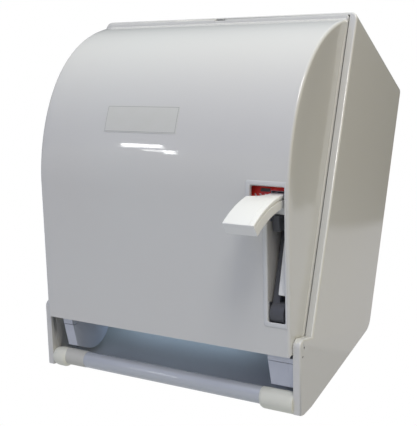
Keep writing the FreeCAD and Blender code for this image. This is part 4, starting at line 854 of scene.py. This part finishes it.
def curved_patch(x0, x1, z0, z1, lift, thick, corner):
    """A thin patch on the cover: closed sections in (x, height) stacked along z, drawn in towards
    both ends by r - sqrt(r^2 - d^2), so that its corners are round."""
    ends = np.array([0.0, 0.08, 0.25, 0.5, 0.75]) * corner
    zs = np.concatenate([z0 + ends, np.linspace(z0 + corner, z1 - corner, 22), z1 - ends[::-1]])
    beyond = corner - np.minimum(np.minimum(zs - z0, z1 - zs), corner)
    inset = corner - np.sqrt(corner ** 2 - beyond ** 2)
    left, right = x0 + inset, x1 - inset
    x = np.stack([left, left, left + 0.1, right - 0.1, right, right], 1)
    height = lift + np.array([0.0, 0.7, 1.0, 1.0, 0.7, 0.0]) * thick
    y = face_depth(zs)[:, None] - height
    grid = np.stack([x, y, np.repeat(zs[:, None], x.shape[1], 1)], -1)
    return grid, capped_faces(*x.shape)


def box_mask(tree, place, low, high, soft=0.00008):
    """White inside an (x, z) box given in metres, black outside, with a soft rim."""
    axes = put(tree, "SeparateXYZ", {0: place}).outputs
    total = None
    for axis, a, b in ((axes["X"], low[0], high[0]), (axes["Z"], low[1], high[1])):
        after = remap(tree, axis, a - soft, a + soft)
        before = remap(tree, axis, b + soft, b - soft)
        both = math_node(tree, "MULTIPLY", after, before)
        total = both if total is None else math_node(tree, "MULTIPLY", total, both)
    return total


def label_finish():
    """Plain glossy label stock with a thin grey line round its edge."""
    material, tree, shader, place = start_material("label stock")
    x0, x1, z0, z1 = (LABEL[0] * MM, LABEL[1] * MM, up(LABEL[2]) * MM, up(LABEL[3]) * MM)
    inside, field = [box_mask(tree, place, (x0 + d, z0 + d), (x1 - d, z1 - d)) for d in LABEL_LINE]
    line = math_node(tree, "SUBTRACT", inside, field, True)
    mottle = remap(tree, noise(tree, place, 60.0), 0.3, 0.7)
    paper = blend_colour(tree, mottle, srgb(200, 201, 195), srgb(202, 203, 198))
    colour = blend_colour(tree, line, paper, srgb(146, 148, 146))
    tree.links.new(colour, shader.inputs["Base Color"])
    shader.inputs["Roughness"].default_value = 0.34
    bump = put(tree, "Bump", {"Height": noise(tree, place, 1400.0), "Strength": 0.03, "Distance": 0.0005})
    tree.links.new(bump.outputs[0], shader.inputs["Normal"])
    return material


def decal_finish():
    """Red decal with plain slanted bars and a grey panel, and nothing written on it."""
    material, tree, shader, place = start_material("red decal")
    axes = put(tree, "SeparateXYZ", {0: place}).outputs
    slant = math_node(tree, "ADD", axes["X"], math_node(tree, "MULTIPLY", axes["Z"], BARS_SLOPE))
    turns = math_node(tree, "FRACT", math_node(tree, "MULTIPLY", slant, BARS_PER_METRE))
    bars = remap(tree, turns, 0.62, 0.68)
    stripe = math_node(tree, "MULTIPLY", bars, box_mask(tree, place, *DECAL_BARS, 0.0002))
    panel = box_mask(tree, place, *DECAL_PANEL, 0.0003)
    red = blend_colour(tree, noise(tree, place, 260.0), srgb(246, 62, 50), srgb(236, 52, 44))
    colour = blend_colour(tree, math_node(tree, "MULTIPLY", stripe, 0.85), red, srgb(226, 214, 210))
    colour = blend_colour(tree, panel, colour, srgb(92, 84, 74))
    tree.links.new(colour, shader.inputs["Base Color"])
    tree.links.new(remap(tree, noise(tree, place, 90.0), 0.3, 0.7, 0.25, 0.4), shader.inputs["Roughness"])
    return material


decal_red = decal_finish()
label_paper = label_finish()
label = piece("label_face", [curved_patch(*LABEL, lift=0.02, thick=0.26, corner=1.2)], label_paper, "cover",
              weld=0.001)
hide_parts("label_plate")


# Springs ------------------------------------------------------------------------------------------

def helix(start, end, radius, turns, steps=20):
    """A coil between two points: a circle in the plane across the axis, walked along it. The first
    and the last 6 hundredths of the walk stay at the ends, as closed end coils."""
    start, end = np.array(start, float), np.array(end, float)
    axis = (end - start) / np.linalg.norm(end - start)
    side = np.cross(axis, [1.0, 0.0, 0.0]) if abs(axis[0]) < 0.9 else np.cross(axis, [0.0, 0.0, 1.0])
    side /= np.linalg.norm(side)
    other = np.cross(axis, side)
    t = np.linspace(0, 1, int(turns * steps))
    eased = np.clip((t - 0.06) / 0.88, 0, 1) * 0.94 + 0.03
    a = 2 * math.pi * turns * t
    ring = side * np.cos(a)[:, None] + other * np.sin(a)[:, None]
    return start + (end - start) * eased[:, None] + radius * ring


def coil_spring(node, axis, radius, wire, turns):
    """A wound wire in the place of a CAD spring, along the given axis of its box."""
    low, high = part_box(node)
    a = np.array(low) / MM + np.array([0, 0, TIPS])
    b = np.array(high) / MM + np.array([0, 0, TIPS])
    start, end = (a + b) / 2, (a + b) / 2
    start[axis], end[axis] = a[axis] + wire / 2, b[axis] - wire / 2
    body = frame["nodes"][node]["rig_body"]
    spring = piece(node + "_wire", [tube(helix(start, end, radius, turns), wire / 2, 7)], zinc, body,
                   weld=0.001)
    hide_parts(node)
    return spring


coil_spring("pressure_spring_left", axis=1, radius=3.5, wire=0.9, turns=6)
coil_spring("pressure_spring_right", axis=1, radius=3.5, wire=0.9, turns=6)
coil_spring("latch_spring", axis=2, radius=1.8, wire=0.6, turns=6)
coil_spring("lever_spring", axis=1, radius=3.5, wire=1.0, turns=20)


# The other pieces keep their CAD shapes, merged and with this rounding on their edges ---------------

DRESSED = {
    casing: {"back_housing": 0.0, "latch_keeper": 0.3},
    chassis: {"edge_shroud_left": 0.4, "edge_shroud_right": 0.4, "left_cheek": 0.5, "gear_case": 0.4,
              "gear_case_cover": 0.4, "cross_tie": 0.4, "towel_guide": 0.3, "spring_bar": 0.3,
              "pressure_rocker": 0.4, "latch_guide": 0.4, "roll_arm_left": 0.4, "roll_arm_right": 0.4,
              "arm_bracket_left": 0.4, "arm_bracket_right": 0.4, "core_hub_left": 0.5,
              "core_hub_right": 0.5, "feed_roller": 0.4},
    nylon: {"lever_carrier": 0.25, "sector_gear": 0.15, "latch_bolt": 0.3, "pressure_roller_1": 0.5,
            "pressure_roller_2": 0.5, "pressure_roller_3": 0.5, "pressure_roller_4": 0.5},
    acetal: {"idler_gear": 0.15, "clutch_gear": 0.15},
    rubber: {"grip_ring_1": 0.6, "grip_ring_2": 0.6, "grip_ring_3": 0.6, "grip_ring_4": 0.6},
    zinc: {"one_way_clutch": 0.3, "case_screws": 0.2, "chassis_screws": 0.2, "tear_bar": 0.1,
           "lever_axle": 0.4, "idler_axle": 0.4, "hinge_pin_left": 0.4, "hinge_pin_right": 0.4,
           "arm_pin_left": 0.4, "arm_pin_right": 0.4, "arm_screws": 0.2, "lever_screws": 0.2,
           "feed_shaft": 0.4, "pressure_axle": 0.4},
    bronze: {"bushing_left": 0.3, "bushing_right": 0.3},
    decal_red: {"caution_decal": 0.0},
}
for finish, nodes in DRESSED.items():
    for node, rounding in nodes.items():
        dress(node, finish, rounding)


# Camera, floor and light --------------------------------------------------------------------------

# Stage, in metres; the eye's turns are yaw, pitch and roll in radians
EYE = (0.53845698, -0.98080669, 0.0889437 - TIPS * MM)
EYE_TURNS = (0.55535319, -0.10242157, 0.15134554)
FOCAL_PIXELS = 914.08133
LONG_SIDE_PIXELS = 426.0
SENSOR = 36.0
MIDDLE = (0.0, -0.15, 0.0)
FLOOR_HALF = 30.0
FLOOR_Z = -0.95


def set_camera():
    """Pinhole view from the right and below: yaw about Z, pitch, then roll about the view line."""
    yaw, pitch, roll = EYE_TURNS
    ahead = np.array([-math.sin(yaw) * math.cos(pitch), math.cos(yaw) * math.cos(pitch), -math.sin(pitch)])
    right = np.array([math.cos(yaw), math.sin(yaw), 0.0])
    top = np.cross(right, ahead)
    turned = math.cos(roll) * right + math.sin(roll) * top
    above = math.cos(roll) * top - math.sin(roll) * right
    data = bpy.data.cameras.new("view")
    data.sensor_fit = "AUTO"
    data.sensor_width = SENSOR
    data.lens = FOCAL_PIXELS * SENSOR / LONG_SIDE_PIXELS
    data.dof.use_dof = False
    data.clip_start = 0.01
    camera = bpy.data.objects.new("view", data)
    bpy.context.scene.collection.objects.link(camera)
    rows = np.eye(4)
    rows[:3, 0], rows[:3, 1], rows[:3, 2] = turned, above, -ahead
    rows[:3, 3] = EYE
    camera.matrix_world = Matrix(rows.tolist())
    bpy.context.scene.camera = camera
    return camera


def lamp(name, place, aim, size, power, colour, size_y=None):
    """A soft rectangular lamp that points from its place to its aim, square where it has one size."""
    data = bpy.data.lights.new(name, "AREA")
    data.shape = "RECTANGLE"
    data.size = size
    data.size_y = size_y or size
    data.energy = power
    data.color = colour
    thing = bpy.data.objects.new(name, data)
    bpy.context.scene.collection.objects.link(thing)
    way = np.array(aim, float) - np.array(place, float)
    back = -way / np.linalg.norm(way)
    side = np.cross([0.0, 0.0, 1.0], back)
    side /= np.linalg.norm(side)
    rows = np.eye(4)
    rows[:3, 0], rows[:3, 1], rows[:3, 2], rows[:3, 3] = side, np.cross(back, side), back, place
    thing.matrix_world = Matrix(rows.tolist())
    return thing


def lobe(tree, direction, toward, colour, before=None):
    """Adds colour x max(0, direction . toward)^2 to the light of the surroundings so far."""
    unit = np.array(toward, float) / np.linalg.norm(toward)
    links = {0: direction, 1: tuple(unit.tolist())}
    along = put(tree, "VectorMath", links, operation="DOT_PRODUCT").outputs["Value"]
    share = math_node(tree, "POWER", math_node(tree, "MAXIMUM", along, 0.0), 2.0)
    light = put(tree, "VectorMath", {0: colour, 3: share}, operation="SCALE").outputs[0]
    if before is None:
        return light
    return put(tree, "VectorMath", {0: before, 1: light}, operation="ADD").outputs[0]


def set_world():
    """Surroundings as soft lobes of light: cool from above and the front, warm from the right. What
    shines on the polished sides from behind is bright near the floor and dim above it."""
    world = bpy.data.worlds.new("studio")
    bpy.context.scene.world = world
    world.use_nodes = True
    tree = world.node_tree
    tree.nodes.clear()
    out = tree.nodes.new("ShaderNodeOutputWorld")
    direction = put(tree, "TexCoord").outputs["Generated"]
    soft = lobe(tree, direction, (0.0, -0.1, 1.0), (0.95, 1.03, 1.2))
    soft = lobe(tree, direction, (0.0, -1.0, 0.25), (0.265, 0.29, 0.54), soft)
    soft = lobe(tree, direction, (1.0, -0.15, 0.1), (0.48, 0.34, 0.0), soft)
    axes = put(tree, "SeparateXYZ", {0: direction}).outputs
    behind = remap(tree, axes["Y"], 0.6, 0.75)
    low = math_node(tree, "MULTIPLY", remap(tree, axes["Z"], 0.133, 0.121), behind)
    window = put(tree, "VectorMath", {0: (0.58, 0.59, 0.65), 3: low}, operation="SCALE").outputs[0]
    mirrored = put(tree, "VectorMath", {0: soft, 1: window}, operation="ADD").outputs[0]
    light = put(tree, "LightPath").outputs
    seen = math_node(tree, "MAXIMUM", light["Is Camera Ray"], light["Is Transmission Ray"])
    tone = blend_colour(tree, light["Is Glossy Ray"], soft, mirrored)
    tone = blend_colour(tree, seen, tone, (1.0, 1.0, 1.0, 1))
    shader = put(tree, "Background", {"Color": tone, "Strength": 1.0})
    tree.links.new(shader.outputs[0], out.inputs[0])


def set_floor():
    """A pale floor well below the wall unit, which the camera itself sees as plain white."""
    data = bpy.data.meshes.new("studio_floor")
    s, z = FLOOR_HALF, FLOOR_Z
    data.from_pydata([(-s, -s, z), (s, -s, z), (s, s, z), (-s, s, z)], [], [(0, 1, 2, 3)])
    floor = bpy.data.objects.new("studio_floor", data)
    bpy.context.scene.collection.objects.link(floor)
    material, tree, shader, place = start_material("pale floor")
    mottle = remap(tree, noise(tree, place, 3.0), 0.3, 0.7)
    tone = blend_colour(tree, mottle, (0.66, 0.66, 0.66, 1), (0.69, 0.69, 0.69, 1))
    tree.links.new(tone, shader.inputs["Base Color"])
    shader.inputs["Roughness"].default_value = 0.9
    data.materials.append(material)
    glow = put(tree, "Emission", {"Color": (1, 1, 1, 1), "Strength": 1.0})
    seen = put(tree, "LightPath").outputs["Is Camera Ray"]
    mix = put(tree, "MixShader", {0: seen, 1: shader.outputs[0], 2: glow.outputs[0]})
    out = [n for n in tree.nodes if n.type == "OUTPUT_MATERIAL"][0]
    tree.links.new(mix.outputs[0], out.inputs[0])


set_camera()
set_world()
set_floor()
lamp("key", (0.75, -1.55, 1.25), MIDDLE, 0.6, 13.5, (1.0, 0.97, 0.9))
overhead = lamp("overhead", (-0.1, -0.5, 1.9), MIDDLE, 1.6, 15.6, (1.0, 0.97, 0.66))
overhead.visible_glossy = False
# Daylight that reaches the floor behind the bar through the thin shell
through_shell = lamp("through shell", (-0.03, -0.07, up(85.0) * MM), (-0.03, -0.125, up(10.0) * MM), 0.2,
                     0.048, (0.58, 0.77, 1.0), 0.05)
through_shell.visible_camera = False
through_shell.visible_glossy = False
# Small windows that only shine back from the cover, as (name, place, width, height, power)
GLINTS = (("glint upper", (-0.9, -1.446, 0.013), 0.11, 0.05, 0.28),
          ("glint lower", (-0.828, -1.471, -0.061), 0.034, 0.05, 0.085),
          ("glint thin", (-0.868, -1.456, -0.048), 0.055, 0.02, 0.04))
for name, place, width, height, power in GLINTS:
    glint = lamp(name, place, (0.0, -0.233, 0.0), width, power, (1.0, 1.0, 1.0), height)
    glint.visible_diffuse = False
    glint.visible_camera = False
bpy.context.scene.view_settings.view_transform = "Standard"
